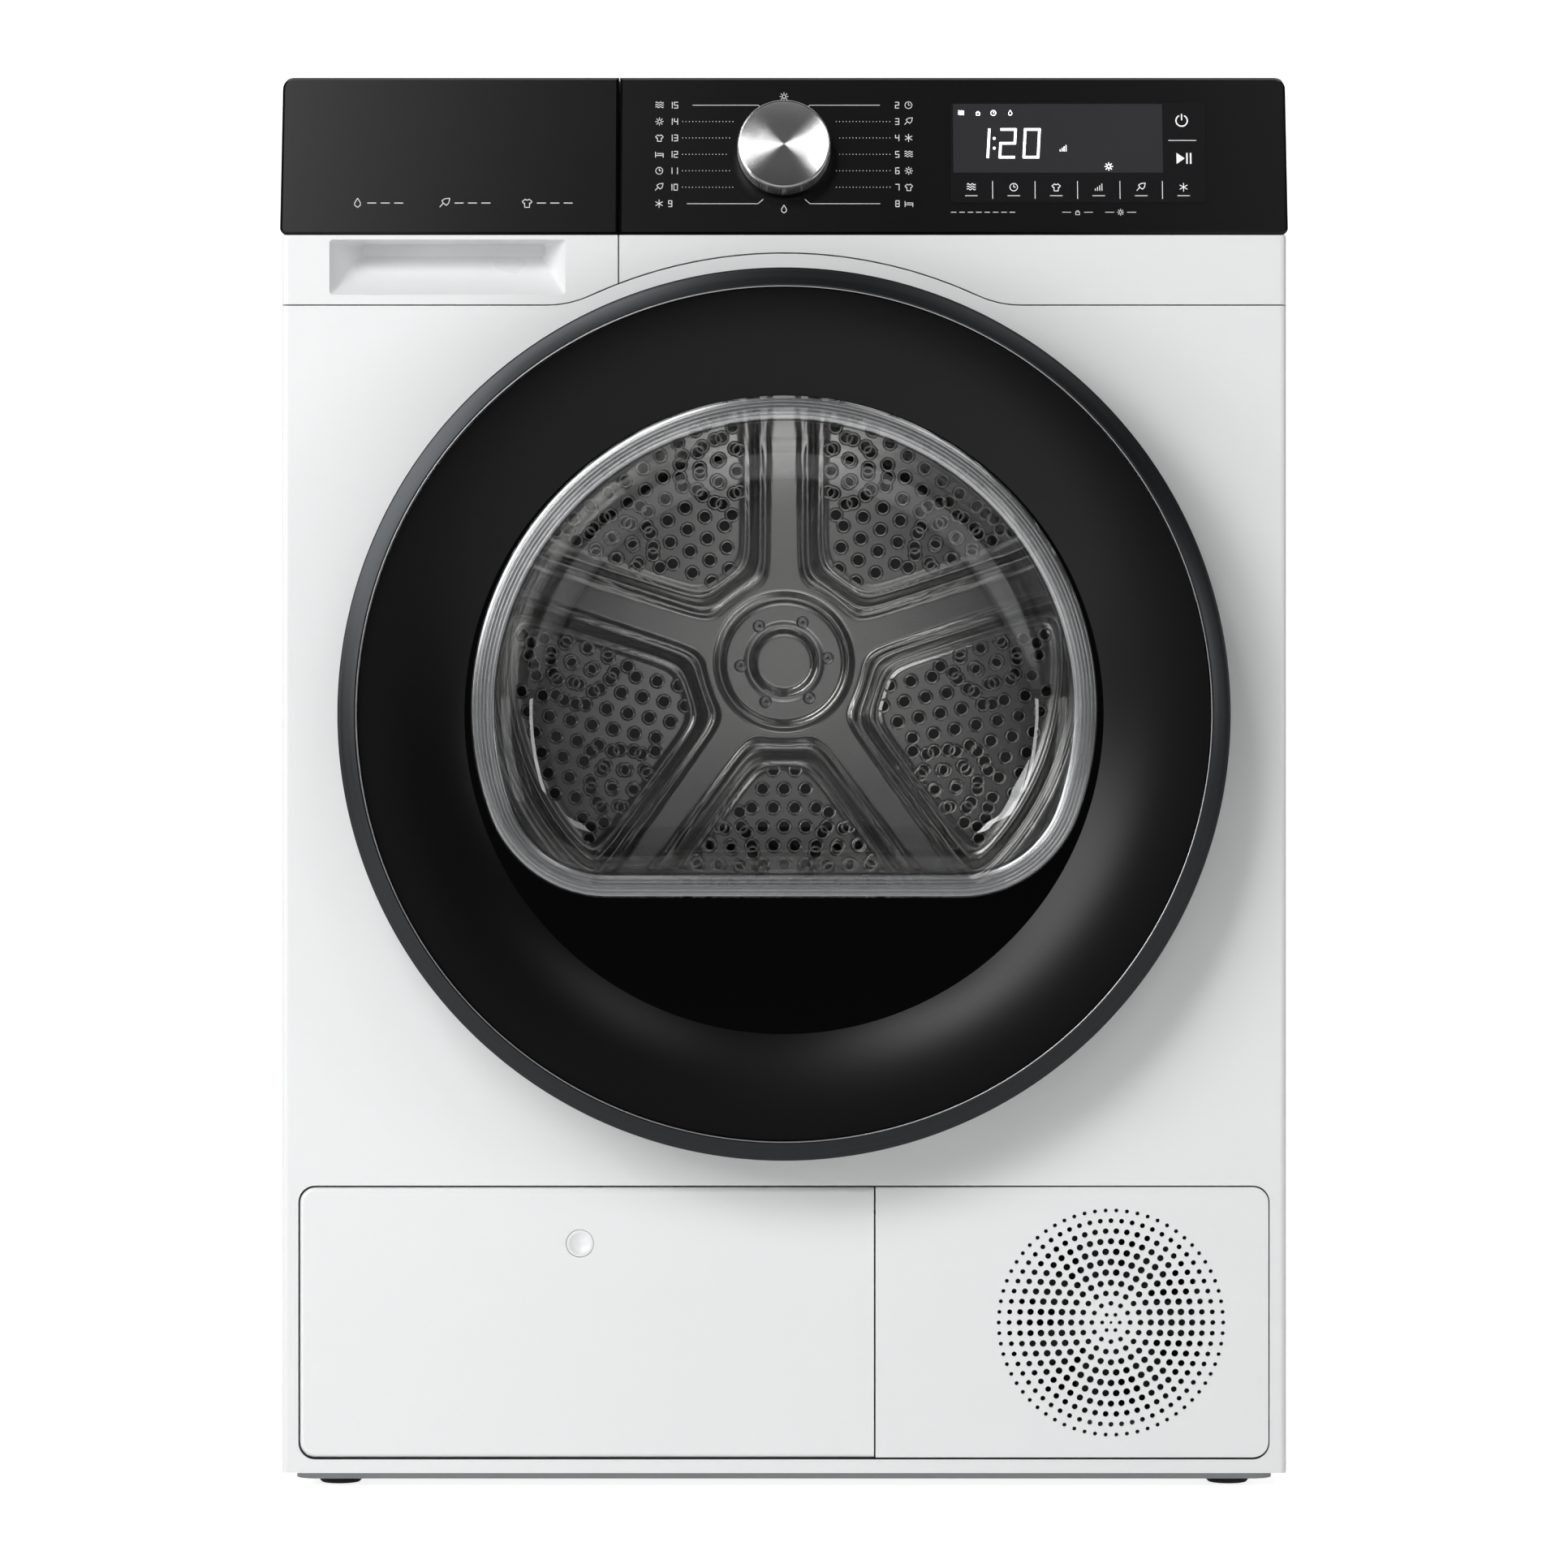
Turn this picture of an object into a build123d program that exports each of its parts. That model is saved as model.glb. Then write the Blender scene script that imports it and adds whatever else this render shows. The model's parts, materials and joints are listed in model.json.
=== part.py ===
from build123d import *
import os
from math import asin, atan2, cos, degrees, hypot, radians, sin, sqrt

# Front-loading heat pump clothes dryer, in millimetres.
# X runs to the right, Y to the back, Z up; the origin is on the floor under the middle of the box.

os.makedirs("parts", exist_ok=True)

# ---------------------------------------------------------------- driving dimensions
HALF_WIDTH = 300.0        # cabinet, outer faces of the side panels
HEIGHT = 845.0            # worktop surface
FRONT_Y = -275.0          # painted face of the front panel
DOOR_FRONT_Y = -325.0     # foremost face of the door ring
REAR_PANEL_Y = 299.3      # inner face of the rear sheet
REAR_Y = 325.0            # rearmost face of the air duct cover
SHEET = 1.2               # pressed steel sheet
GAP = 0.4                 # half of a visible joint between two outer panels

BASE_BOTTOM = 5.0
BASE_TOP = 40.0
BASE_WALL = 3.0
PANEL_BOTTOM = 10.0
SIDE_TOP = 821.0

FASCIA_BOTTOM = 747.0
FASCIA_TOP = 843.0
FASCIA_LOW_Y = -276.0     # lower edge of the black glassy face
FASCIA_HIGH_Y = -256.0    # upper edge, leaning back
FASCIA_BACK_Y = -242.0
FASCIA_WALL = 2.5
TANK_SPLIT_X = -98.5      # joint between the tank drawer and the control panel

DOOR_Z = 461.0            # centre of the round door
DOOR_R = 262.0
RING_IN_R = 251.0         # bright line between ring and dish
DISH_IN_R = 188.8
DISH_FLOOR_Y = -301.0

WINDOW_Z = 464.4          # centre of the round part of the D-shaped window
WINDOW_R = 184.7
WINDOW_FLAT_Z = 353.0     # straight lower edge of the D
WINDOW_FLAT_X = 104.0     # half length of the straight edge
WINDOW_BACK_Y = -240.0

HILL_R = 275.0            # the joint above the door runs round it at this radius
SEAM_Z = 705.0            # level part of that joint
HILL_FOOT_X = 141.0       # where the level part ends

KICK_HALF_X = 289.0       # opening for the flap and the grille
KICK_LOW_Z = 18.0
KICK_HIGH_Z = 181.0
KICK_SPLIT_X = 54.0
KICK_CORNER_R = 10.0

DRUM_Z = 505.0
DRUM_R = 279.0
DRUM_SHEET = 1.0
DRUM_FRONT_Y = -204.0
DRUM_BACK_Y = 268.0
SHAFT_R = 12.0

KNOB_Z = 797.0
KNOB_R = 27.8

HINGE_X = 246.0           # vertical axis of the door hinge
HINGE_Y = -304.0
HINGE_ARM_Z = (401.0, 521.0)
HINGE_PIN_R = 3.0

MOTOR_X = 130.0
MOTOR_Z = 110.0
MOTOR_R = 54.0
MOTOR_LENGTH = 120.0
PULLEY_R = 9.0
BELT_Y = 12.0
BELT_WIDTH = 14.0
BELT_THICK = 2.0
IDLER_R = 18.0
ROLLER_R = 20.0
ROLLER_ANGLE = 35.0
RUN_GAP = 0.3             # air between curved faces of different bodies
FIT_GAP = 0.05            # radial running fit of a shaft in its hole

ARM_PIVOT_X = 20.0        # pivot pin of the belt's idler arm
ARM_PIVOT_Z = 62.0
ARM_PIN_R = 4.0

COMP_X = 200.0            # compressor
COMP_Y = -130.0
COMP_R = 55.0
COMP_MOUNT_R = 62.0
COMP_HEIGHT = 160.0

FAN_X = 194.6             # cooling fan and the perforated disc in front of it
FAN_Z = 99.5
FOOT_X = 267.0
FOOT_FRONT_Y = -235.0
FOOT_REAR_Y = 265.0

# ---------------------------------------------------------------- derived places
BASE_FLOOR = BASE_BOTTOM + BASE_WALL
LEAN = atan2(FASCIA_HIGH_Y - FASCIA_LOW_Y, FASCIA_TOP - FASCIA_BOTTOM)
DOOR_AXIS = Axis((0, 0, DOOR_Z), (0, 1, 0))
DRUM_AXIS = Axis((0, 0, DRUM_Z), (0, 1, 0))


def facing_front(y):
    """Plane at depth y whose normal points to the front and whose local axes are X and Z."""
    return Plane.XZ.offset(-y)


def fascia_y(z):
    """Depth of the leaning fascia face at height z."""
    share = (z - FASCIA_BOTTOM) / (FASCIA_TOP - FASCIA_BOTTOM)
    return FASCIA_LOW_Y + share * (FASCIA_HIGH_Y - FASCIA_LOW_Y)


def fascia_plane(x, z, depth=0.0):
    """Plane on the leaning fascia at (x, z), moved back by depth, normal to the front and up."""
    normal = Vector(0, -cos(LEAN), sin(LEAN))
    return Plane(origin=Vector(x, fascia_y(z), z) - normal * depth, x_dir=(1, 0, 0), z_dir=normal)


def window_outline(inset):
    """D-shaped outline: a large circle, two corner arcs and a straight lower edge."""
    rise = WINDOW_Z - WINDOW_FLAT_Z
    corner = (WINDOW_R**2 - WINDOW_FLAT_X**2 - rise**2) / (2 * (WINDOW_R - rise))
    corner_z = WINDOW_FLAT_Z + corner
    below = degrees(atan2(WINDOW_Z - corner_z, WINDOW_FLAT_X))
    low = WINDOW_FLAT_Z + inset
    CenterArc((0, WINDOW_Z), WINDOW_R - inset, -below, 180 + 2 * below)
    CenterArc((WINDOW_FLAT_X, corner_z), corner - inset, -90, 90 - below)
    CenterArc((-WINDOW_FLAT_X, corner_z), corner - inset, 180 + below, 90 - below)
    Line((-WINDOW_FLAT_X, low), (WINDOW_FLAT_X, low))


def seam_points(lift):
    """Arc radius, tangent point and foot radius of the joint over the door, moved up by lift."""
    rise = SEAM_Z - DOOR_Z
    foot = (HILL_FOOT_X**2 - HILL_R**2 + rise**2) / (2 * (HILL_R - rise))
    reach = hypot(HILL_FOOT_X, rise + foot)
    radius = HILL_R + lift
    tangent = (HILL_FOOT_X / reach * radius, DOOR_Z + (rise + foot) / reach * radius)
    return radius, tangent, foot - lift


def pull_in(name, piece):
    """Label a finished piece and write it to its own file."""
    piece.part.label = name
    export_step(piece.part, f"parts/{name}.step")


# ---------------------------------------------------------------- base and feet
FOOT_PLACES = {
    "foot_front_left": (-FOOT_X, FOOT_FRONT_Y),
    "foot_front_right": (FOOT_X, FOOT_FRONT_Y),
    "foot_rear_left": (-FOOT_X, FOOT_REAR_Y),
    "foot_rear_right": (FOOT_X, FOOT_REAR_Y),
}
STEM_R = 5.0
BOSS_TOP = 31.0
FLAP_PIN_Y = -270.0
FLAP_PIN_Z = 24.2
FLAP_PIN_R = 1.3
FLAP_EAR_R = 2.7
FLAP_EAR_X = (-272.0, 38.0)

with BuildPart() as base_tub:
    with BuildSketch(Plane.XY.offset(BASE_BOTTOM)):
        with Locations((0, 17)):
            RectangleRounded(584, 558, 12)
    extrude(amount=BASE_TOP - BASE_BOTTOM)
    offset(amount=-BASE_WALL, openings=base_tub.faces().sort_by(Axis.Z)[-1])
    # sockets for the feet
    with BuildSketch(Plane.XY.offset(BASE_BOTTOM)):
        with Locations(*FOOT_PLACES.values()):
            Circle(14)
    extrude(amount=BOSS_TOP - BASE_BOTTOM)
    with BuildSketch(Plane.XY.offset(BASE_BOTTOM)):
        with Locations(*FOOT_PLACES.values()):
            Circle(STEM_R + FIT_GAP)
    extrude(amount=BOSS_TOP, mode=Mode.SUBTRACT)
    # two ears that carry the flap's hinge pins
    for ear_x in FLAP_EAR_X:
        with BuildSketch(Plane.YZ.offset(ear_x - 4)):
            with Locations((FLAP_PIN_Y, FLAP_PIN_Z), (FLAP_PIN_Y + 8.5, FLAP_PIN_Z)):
                Circle(FLAP_EAR_R)
            make_hull()
        extrude(amount=8)
        with BuildSketch(Plane.YZ.offset(ear_x - 4)):
            with Locations((FLAP_PIN_Y, FLAP_PIN_Z)):
                Circle(FLAP_PIN_R + FIT_GAP)
        extrude(amount=8, mode=Mode.SUBTRACT)
    # bosses under the compressor
    with BuildSketch(Plane.XY.offset(BASE_FLOOR)):
        with Locations((COMP_X, COMP_Y)):
            with PolarLocations(COMP_MOUNT_R, 3, start_angle=90):
                Circle(10)
    extrude(amount=12)
    # upright with the pivot pin of the idler arm
    with BuildSketch(facing_front(40)):
        with Locations((ARM_PIVOT_X, (BASE_BOTTOM + 80) / 2)):
            Rectangle(44, 80 - BASE_BOTTOM)
    extrude(amount=-4)
    with BuildSketch(facing_front(22)):
        with Locations((ARM_PIVOT_X, ARM_PIVOT_Z)):
            Circle(ARM_PIN_R)
    extrude(amount=-18)
pull_in("base_tub", base_tub)

for foot_name, foot_place in FOOT_PLACES.items():
    with BuildPart() as foot:
        with Locations(foot_place):
            Cylinder(12.5, BASE_BOTTOM - RUN_GAP, align=(Align.CENTER, Align.CENTER, Align.MIN))
            Cylinder(STEM_R, 32, align=(Align.CENTER, Align.CENTER, Align.MIN))
        chamfer(foot.edges().group_by(Axis.Z)[0], 1.2)
    pull_in(foot_name, foot)

# ---------------------------------------------------------------- cabinet panels
for side_name, side in (("side_panel_left", -1), ("side_panel_right", 1)):
    with BuildPart() as side_panel:
        with BuildSketch(Plane.XY.offset(PANEL_BOTTOM)):
            with BuildLine():
                Polyline(
                    (side * 294, -262),
                    (side * 300, -262),
                    (side * 300, 299),
                    (side * 294, 299),
                    (side * 294, 298),
                    (side * 299, 298),
                    (side * 299, -261),
                    (side * 294, -261),
                    close=True,
                )
            make_face()
        extrude(amount=SIDE_TOP - PANEL_BOTTOM)
        # notch for the end of the console
        with BuildSketch(Plane.YZ.offset(side * 290)):
            with Locations((-252, 790)):
                Rectangle(21.6, 87)
        extrude(amount=side * 20, mode=Mode.SUBTRACT)
        # two pressed stiffening beads near the rear edge
        with BuildSketch(Plane.YZ.offset(side * 299)):
            with Locations((150, 420), (225, 420)):
                SlotOverall(560, 14, rotation=90)
        extrude(amount=-side * 2.5)
    pull_in(side_name, side_panel)

with BuildPart() as top_panel:
    with BuildSketch(Plane.XY.offset(821.5)):
        with Locations((0, 30)):
            RectangleRounded(600, 542, 4)
    extrude(amount=HEIGHT - 821.5)
    fillet(top_panel.faces().sort_by(Axis.Z)[-1].edges(), 2.5)
    with BuildSketch(Plane.XY.offset(821.5)):
        with Locations((0, 30)):
            Rectangle(595, 537)
    extrude(amount=HEIGHT - 821.5 - 2.5, mode=Mode.SUBTRACT)
    # stiffening ribs under the worktop
    with BuildSketch(Plane.XY.offset(834)):
        with Locations((0, -120), (0, 30), (0, 180)):
            Rectangle(595, 3)
    extrude(amount=9)
pull_in("top_panel", top_panel)

FRONT_DEPTH = 12.0
FRONT_HALF_X = 299.0
DOOR_OPENING_R = 212.0
LATCH_X = -236.0

with BuildPart() as front_panel:
    hill_r, (hill_x, hill_z), foot_r = seam_points(-GAP)
    seam_z = SEAM_Z - GAP
    with BuildSketch(facing_front(FRONT_Y)):
        with BuildLine():
            Polyline(
                (-HILL_FOOT_X, seam_z),
                (-FRONT_HALF_X, seam_z),
                (-FRONT_HALF_X, PANEL_BOTTOM),
                (FRONT_HALF_X, PANEL_BOTTOM),
                (FRONT_HALF_X, seam_z),
                (HILL_FOOT_X, seam_z),
            )
            RadiusArc((HILL_FOOT_X, seam_z), (hill_x, hill_z), foot_r)
            ThreePointArc((hill_x, hill_z), (0, DOOR_Z + hill_r), (-hill_x, hill_z))
            RadiusArc((-hill_x, hill_z), (-HILL_FOOT_X, seam_z), foot_r)
        make_face()
    extrude(amount=-FRONT_DEPTH)
    upright_edges = front_panel.edges().filter_by(Axis.Z).group_by(Axis.Y)[0]
    fillet(upright_edges, 4)
    offset(amount=-SHEET, openings=front_panel.faces().filter_by(Axis.Y).sort_by(Axis.Y)[-1])
    # door opening with a rolled edge
    with BuildSketch(facing_front(FRONT_Y + SHEET)):
        with Locations((0, DOOR_Z)):
            Circle(DOOR_OPENING_R + 2 * SHEET)
    extrude(amount=-5)
    with BuildSketch(facing_front(FRONT_Y)):
        with Locations((0, DOOR_Z)):
            Circle(DOOR_OPENING_R + SHEET)
        with Locations((0, (KICK_LOW_Z + KICK_HIGH_Z) / 2)):
            RectangleRounded(2 * KICK_HALF_X, KICK_HIGH_Z - KICK_LOW_Z, KICK_CORNER_R)
        with Locations((LATCH_X, DOOR_Z)):
            Rectangle(16, 32)
        for arm_z in HINGE_ARM_Z:
            with Locations((HINGE_X, arm_z)):
                Rectangle(22, 10)
    extrude(amount=-FRONT_DEPTH, mode=Mode.SUBTRACT)
pull_in("front_panel", front_panel)

with BuildPart() as rear_panel:
    with BuildSketch(facing_front(REAR_PANEL_Y)):
        with Locations((0, 416)):
            RectangleRounded(597, 808, 5)
    extrude(amount=-SHEET)
    with BuildSketch(facing_front(REAR_PANEL_Y)):
        # hot air slots into the drum
        with Locations((0, DRUM_Z)):
            with PolarLocations(145, 12):
                SlotOverall(90, 26)
        # outlet of the process fan, and cable and hose holes
        with Locations((MOTOR_X, MOTOR_Z)):
            Circle(52)
    extrude(amount=-SHEET, mode=Mode.SUBTRACT)
pull_in("rear_panel", rear_panel)

COVER_DEPTH = 24.0
DUCT_X = MOTOR_X - 60
DUCT_Z = 210.0
with BuildPart() as rear_duct_cover:
    with BuildSketch(facing_front(REAR_Y)):
        with Locations((0, DRUM_Z)):
            Circle(232)
        with Locations((DUCT_X, DUCT_Z)):
            Rectangle(250, 300)
    extrude(amount=COVER_DEPTH)
    fillet(rear_duct_cover.faces().sort_by(Axis.Y)[-1].edges(), 8)
    with BuildSketch(facing_front(REAR_Y - 2)):
        with Locations((0, DRUM_Z)):
            Circle(222)
        with Locations((DUCT_X, DUCT_Z)):
            Rectangle(230, 280)
    extrude(amount=COVER_DEPTH, mode=Mode.SUBTRACT)
pull_in("rear_duct_cover", rear_duct_cover)

# ---------------------------------------------------------------- control panel and tank drawer front


def console_wedge(x_low, x_high):
    """Solid behind one length of the leaning fascia."""
    with BuildSketch(Plane.YZ.offset(x_low)) as section:
        with BuildLine():
            Polyline(
                (FASCIA_LOW_Y, FASCIA_BOTTOM),
                (FASCIA_HIGH_Y, FASCIA_TOP),
                (FASCIA_BACK_Y, FASCIA_TOP),
                (FASCIA_BACK_Y, FASCIA_BOTTOM),
                close=True,
            )
        make_face()
    extrude(section.sketch, amount=x_high - x_low)


def round_console(wedge, side):
    """Round the outer corners, bevel the face and hollow the shell from behind."""
    outer = wedge.faces().sort_by(Axis.X)[-1 if side > 0 else 0]
    level = outer.edges().filter_by(Axis.Y).sort_by(Axis.Z)
    fillet(level[-1], 7)
    outer = wedge.edges().filter_by(Axis.Y).group_by(Axis.Z)[0].sort_by(Axis.X)
    fillet(outer[-1 if side > 0 else 0], 4)
    face = wedge.faces().sort_by(Axis((0, 0, 0), (0, -cos(LEAN), sin(LEAN))))[-1]
    chamfer(face.edges(), 1.5)
    back = wedge.faces().filter_by(Axis.Y).sort_by(Axis.Y)[-1]
    offset(amount=-FASCIA_WALL, openings=back)


DISPLAY_LOW = (99.0, 766.0)
DISPLAY_HIGH = (252.0, 828.0)
display_x = (DISPLAY_LOW[0] + DISPLAY_HIGH[0]) / 2
display_z = (DISPLAY_LOW[1] + DISPLAY_HIGH[1]) / 2
display_w = DISPLAY_HIGH[0] - DISPLAY_LOW[0]
display_h = (DISPLAY_HIGH[1] - DISPLAY_LOW[1]) / cos(LEAN)

with BuildPart() as control_fascia:
    console_wedge(TANK_SPLIT_X + GAP, HALF_WIDTH)
    round_console(control_fascia, 1)
    with BuildSketch(fascia_plane(0, KNOB_Z)):
        Circle(4.5)
    extrude(amount=-8, mode=Mode.SUBTRACT)
    with BuildSketch(fascia_plane(display_x, display_z)):
        RectangleRounded(display_w, display_h, 2)
    extrude(amount=-1.0, mode=Mode.SUBTRACT)
    with BuildSketch(fascia_plane(display_x, display_z)):
        RectangleRounded(display_w - 12, display_h - 12, 2)
    extrude(amount=-8, mode=Mode.SUBTRACT)
pull_in("control_fascia", control_fascia)

with BuildPart() as display_glass:
    with BuildSketch(fascia_plane(display_x, display_z, 1.0)):
        RectangleRounded(display_w - 0.4, display_h - 0.4, 2)
    extrude(amount=1.2)
pull_in("display_glass", display_glass)

with BuildPart() as control_board:
    with BuildSketch(fascia_plane(85, 796, 12.5)):
        Rectangle(330, 72)
    extrude(amount=1.6)
    # rotary encoder under the knob
    with BuildSketch(fascia_plane(0, KNOB_Z, 10.9)):
        Rectangle(26, 26)
    extrude(amount=7)
    with BuildSketch(fascia_plane(0, KNOB_Z, 3.5)):
        Circle(3 + FIT_GAP)
    extrude(amount=-6, mode=Mode.SUBTRACT)
    # display module
    with BuildSketch(fascia_plane(display_x, display_z, 10.9)):
        Rectangle(display_w - 16, display_h - 16)
    extrude(amount=9)
pull_in("control_board", control_board)

with BuildPart() as selector_knob:
    with BuildSketch(fascia_plane(0, KNOB_Z, -0.8)):
        Circle(KNOB_R)
    extrude(amount=16)
    rim = selector_knob.edges().sort_by(Axis((0, 0, 0), (0, -cos(LEAN), sin(LEAN))))[-1]
    chamfer(rim, 1.0)
    with BuildSketch(fascia_plane(0, KNOB_Z, 9)):
        Circle(3)
    extrude(amount=10)
pull_in("selector_knob", selector_knob)

TRIM_WALL = 2.0
with BuildPart() as upper_trim:
    hill_r, (hill_x, hill_z), foot_r = seam_points(GAP)
    seam_z = SEAM_Z + GAP
    split_x = TANK_SPLIT_X + GAP
    split_z = DOOR_Z + sqrt(hill_r**2 - split_x**2)
    with BuildSketch(facing_front(FRONT_Y)):
        with BuildLine():
            ThreePointArc((split_x, split_z), (0, DOOR_Z + hill_r), (hill_x, hill_z))
            RadiusArc((hill_x, hill_z), (HILL_FOOT_X, seam_z), -foot_r)
            Polyline(
                (HILL_FOOT_X, seam_z),
                (FRONT_HALF_X, seam_z),
                (FRONT_HALF_X, FASCIA_BOTTOM - GAP),
                (split_x, FASCIA_BOTTOM - GAP),
                (split_x, split_z),
            )
        make_face()
    extrude(amount=-FRONT_DEPTH)
    corner = upper_trim.edges().filter_by(Axis.Z).filter_by_position(Axis.Y, FRONT_Y - 1, FRONT_Y + 1)
    fillet(corner.sort_by(Axis.X)[-1], 4)
    back = upper_trim.faces().filter_by(Axis.Y).sort_by(Axis.Y)[-1]
    offset(amount=-TRIM_WALL, openings=back)
pull_in("upper_trim", upper_trim)

RECESS_BACK_Y = -244.5
RECESS_X = -200.25        # middle of the hand recess
with BuildPart() as tank_front_white:
    hill_r, (hill_x, hill_z), foot_r = seam_points(GAP)
    seam_z = SEAM_Z + GAP
    split_x = TANK_SPLIT_X - GAP
    split_z = DOOR_Z + sqrt(hill_r**2 - split_x**2)
    middle_x = (split_x - hill_x) / 2
    middle_z = DOOR_Z + sqrt(hill_r**2 - middle_x**2)
    with BuildSketch(facing_front(FRONT_Y)):
        with BuildLine():
            ThreePointArc((split_x, split_z), (middle_x, middle_z), (-hill_x, hill_z))
            RadiusArc((-hill_x, hill_z), (-HILL_FOOT_X, seam_z), foot_r)
            Polyline(
                (-HILL_FOOT_X, seam_z),
                (-FRONT_HALF_X, seam_z),
                (-FRONT_HALF_X, FASCIA_BOTTOM - GAP),
                (split_x, FASCIA_BOTTOM - GAP),
                (split_x, split_z),
            )
        make_face()
    extrude(amount=-FRONT_DEPTH)
    corner = tank_front_white.edges().filter_by(Axis.Z)
    fillet(corner.filter_by_position(Axis.Y, FRONT_Y - 1, FRONT_Y + 1).sort_by(Axis.X)[0], 4)
    back = tank_front_white.faces().filter_by(Axis.Y).sort_by(Axis.Y)[-1]
    offset(amount=-TRIM_WALL, openings=back)
    # outer skin of the hand recess, then its hollow with a sloped floor
    with BuildSketch(facing_front(FRONT_Y + 1)):
        with Locations((RECESS_X, 727.2)):
            Rectangle(145, 38)
    with BuildSketch(facing_front(RECESS_BACK_Y + 2)):
        with Locations((RECESS_X + 1.75, 739.3)):
            Rectangle(113, 14)
    loft()
    with BuildSketch(facing_front(FRONT_Y)):
        with Locations((RECESS_X, 727.5)):
            RectangleRounded(140.5, 33, 2)
    with BuildSketch(facing_front(RECESS_BACK_Y)):
        with Locations((RECESS_X + 1.75, 740.5)):
            RectangleRounded(109, 7, 2)
    loft(mode=Mode.SUBTRACT)
pull_in("tank_front_white", tank_front_white)

with BuildPart() as tank_front_black:
    console_wedge(-HALF_WIDTH, TANK_SPLIT_X - GAP)
    round_console(tank_front_black, -1)
pull_in("tank_front_black", tank_front_black)

TANK_SECTION = ((-284, 738), (-218, 738), (-196, 775), (-108, 775), (-108, 818), (-284, 818))
TANK_FRONT_Y = -241.5
TANK_REAR_Y = 205.0
TANK_WALL = 2.2
with BuildPart() as tank_reservoir:
    with BuildSketch(facing_front(TANK_FRONT_Y)):
        with BuildLine():
            Polyline(*TANK_SECTION, close=True)
        make_face()
    extrude(amount=-(TANK_REAR_Y - TANK_FRONT_Y))
    fillet(tank_reservoir.edges().filter_by(Axis.Y), 5)
    with BuildSketch(facing_front(TANK_FRONT_Y + TANK_WALL)):
        with BuildLine():
            Polyline(*TANK_SECTION, close=True)
        make_face()
        offset(amount=-TANK_WALL)
    extrude(amount=-(TANK_REAR_Y - TANK_FRONT_Y - 2 * TANK_WALL), mode=Mode.SUBTRACT)
    # filling hole in the lid
    with BuildSketch(Plane.XY.offset(800)):
        with Locations((-230, 160)):
            Circle(14)
    extrude(amount=30, mode=Mode.SUBTRACT)
pull_in("tank_reservoir", tank_reservoir)

with BuildPart() as tank_tray:
    with BuildSketch(facing_front(-230)):
        with BuildLine():
            Polyline(
                (-288, 822),
                (-288, 735),
                (-216, 735),
                (-194, 772),
                (-104, 772),
                (-104, 822),
                (-106, 822),
                (-106, 774),
                (-195, 774),
                (-217, 737),
                (-286, 737),
                (-286, 822),
                close=True,
            )
        make_face()
    extrude(amount=-450)
pull_in("tank_tray", tank_tray)

# ---------------------------------------------------------------- door
ARM_CUT_LOW_Y = -317.0
FRAME_PLATE_Y = -280.5
FRAME_BACK_Y = -278.0


def cut_arm_slots():
    """Clear the way of the two fixed hinge arms through a door piece."""
    for slot_z in HINGE_ARM_Z:
        with BuildSketch(Plane.XY.offset(slot_z - 5)) as slot:
            with Locations((HINGE_X, (ARM_CUT_LOW_Y - 270) / 2)):
                Rectangle(44, -270 - ARM_CUT_LOW_Y)
        extrude(slot.sketch, amount=10, mode=Mode.SUBTRACT)


RING_SLOPE = 4.2          # the ring's face falls back by this much towards its rim
RING_WALL = 2.5
DISH_EDGE_Y = DOOR_FRONT_Y + 6
RING_LIP_Y = DISH_EDGE_Y + 3

with BuildPart() as door_outer_ring:
    with BuildSketch(Plane.XY.offset(DOOR_Z)):
        with BuildLine():
            Polyline(
                (DOOR_R - 6, FRAME_BACK_Y),
                (DOOR_R - 8, FRAME_BACK_Y),
                (DOOR_R - 8, FRAME_PLATE_Y + 0.3),
                (DOOR_R - RING_WALL, FRAME_PLATE_Y - 4),
                (DOOR_R - RING_WALL, DOOR_FRONT_Y + RING_SLOPE + RING_WALL),
                (RING_IN_R + RING_WALL, DOOR_FRONT_Y + RING_WALL + 1),
                (RING_IN_R + RING_WALL, RING_LIP_Y),
                (RING_IN_R, RING_LIP_Y),
                (RING_IN_R, DOOR_FRONT_Y + 0.6),
                (RING_IN_R + 0.8, DOOR_FRONT_Y),
                (DOOR_R - 0.8, DOOR_FRONT_Y + RING_SLOPE),
                (DOOR_R, DOOR_FRONT_Y + RING_SLOPE + 1),
                (DOOR_R, FRAME_BACK_Y - 6),
            )
            TangentArc((DOOR_R, FRAME_BACK_Y - 6), (DOOR_R - 6, FRAME_BACK_Y), tangent=(0, 1))
        make_face()
    revolve(axis=DOOR_AXIS)
    cut_arm_slots()
pull_in("door_outer_ring", door_outer_ring)

DISH_SHEET = 2.5
DISH_BULGE = 3.4          # the dish stands this much proud of the cone between its two edges
with BuildPart() as door_trim:
    with BuildSketch(Plane.XY.offset(DOOR_Z)):
        with BuildLine():
            high = Vector(RING_IN_R - 0.3, DISH_EDGE_Y)
            low = Vector(DISH_IN_R + 0.3, DISH_FLOOR_Y - 0.4)
            proud = (high + low) / 2 - Vector(0, DISH_BULGE)
            back = Vector(0, DISH_SHEET)
            ThreePointArc(high, proud, low)
            Line(low, low + back)
            ThreePointArc(low + back, proud + back, high + back)
            Line(high + back, high)
        make_face()
    revolve(axis=DOOR_AXIS)
pull_in("door_trim", door_trim)

with BuildPart() as door_insert:
    with BuildSketch(facing_front(DISH_FLOOR_Y)):
        with Locations((0, DOOR_Z)):
            Circle(DISH_IN_R - 0.3)
        with BuildLine():
            window_outline(-0.2)
        make_face(mode=Mode.SUBTRACT)
    extrude(amount=-DISH_SHEET)
pull_in("door_insert", door_insert)

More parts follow.
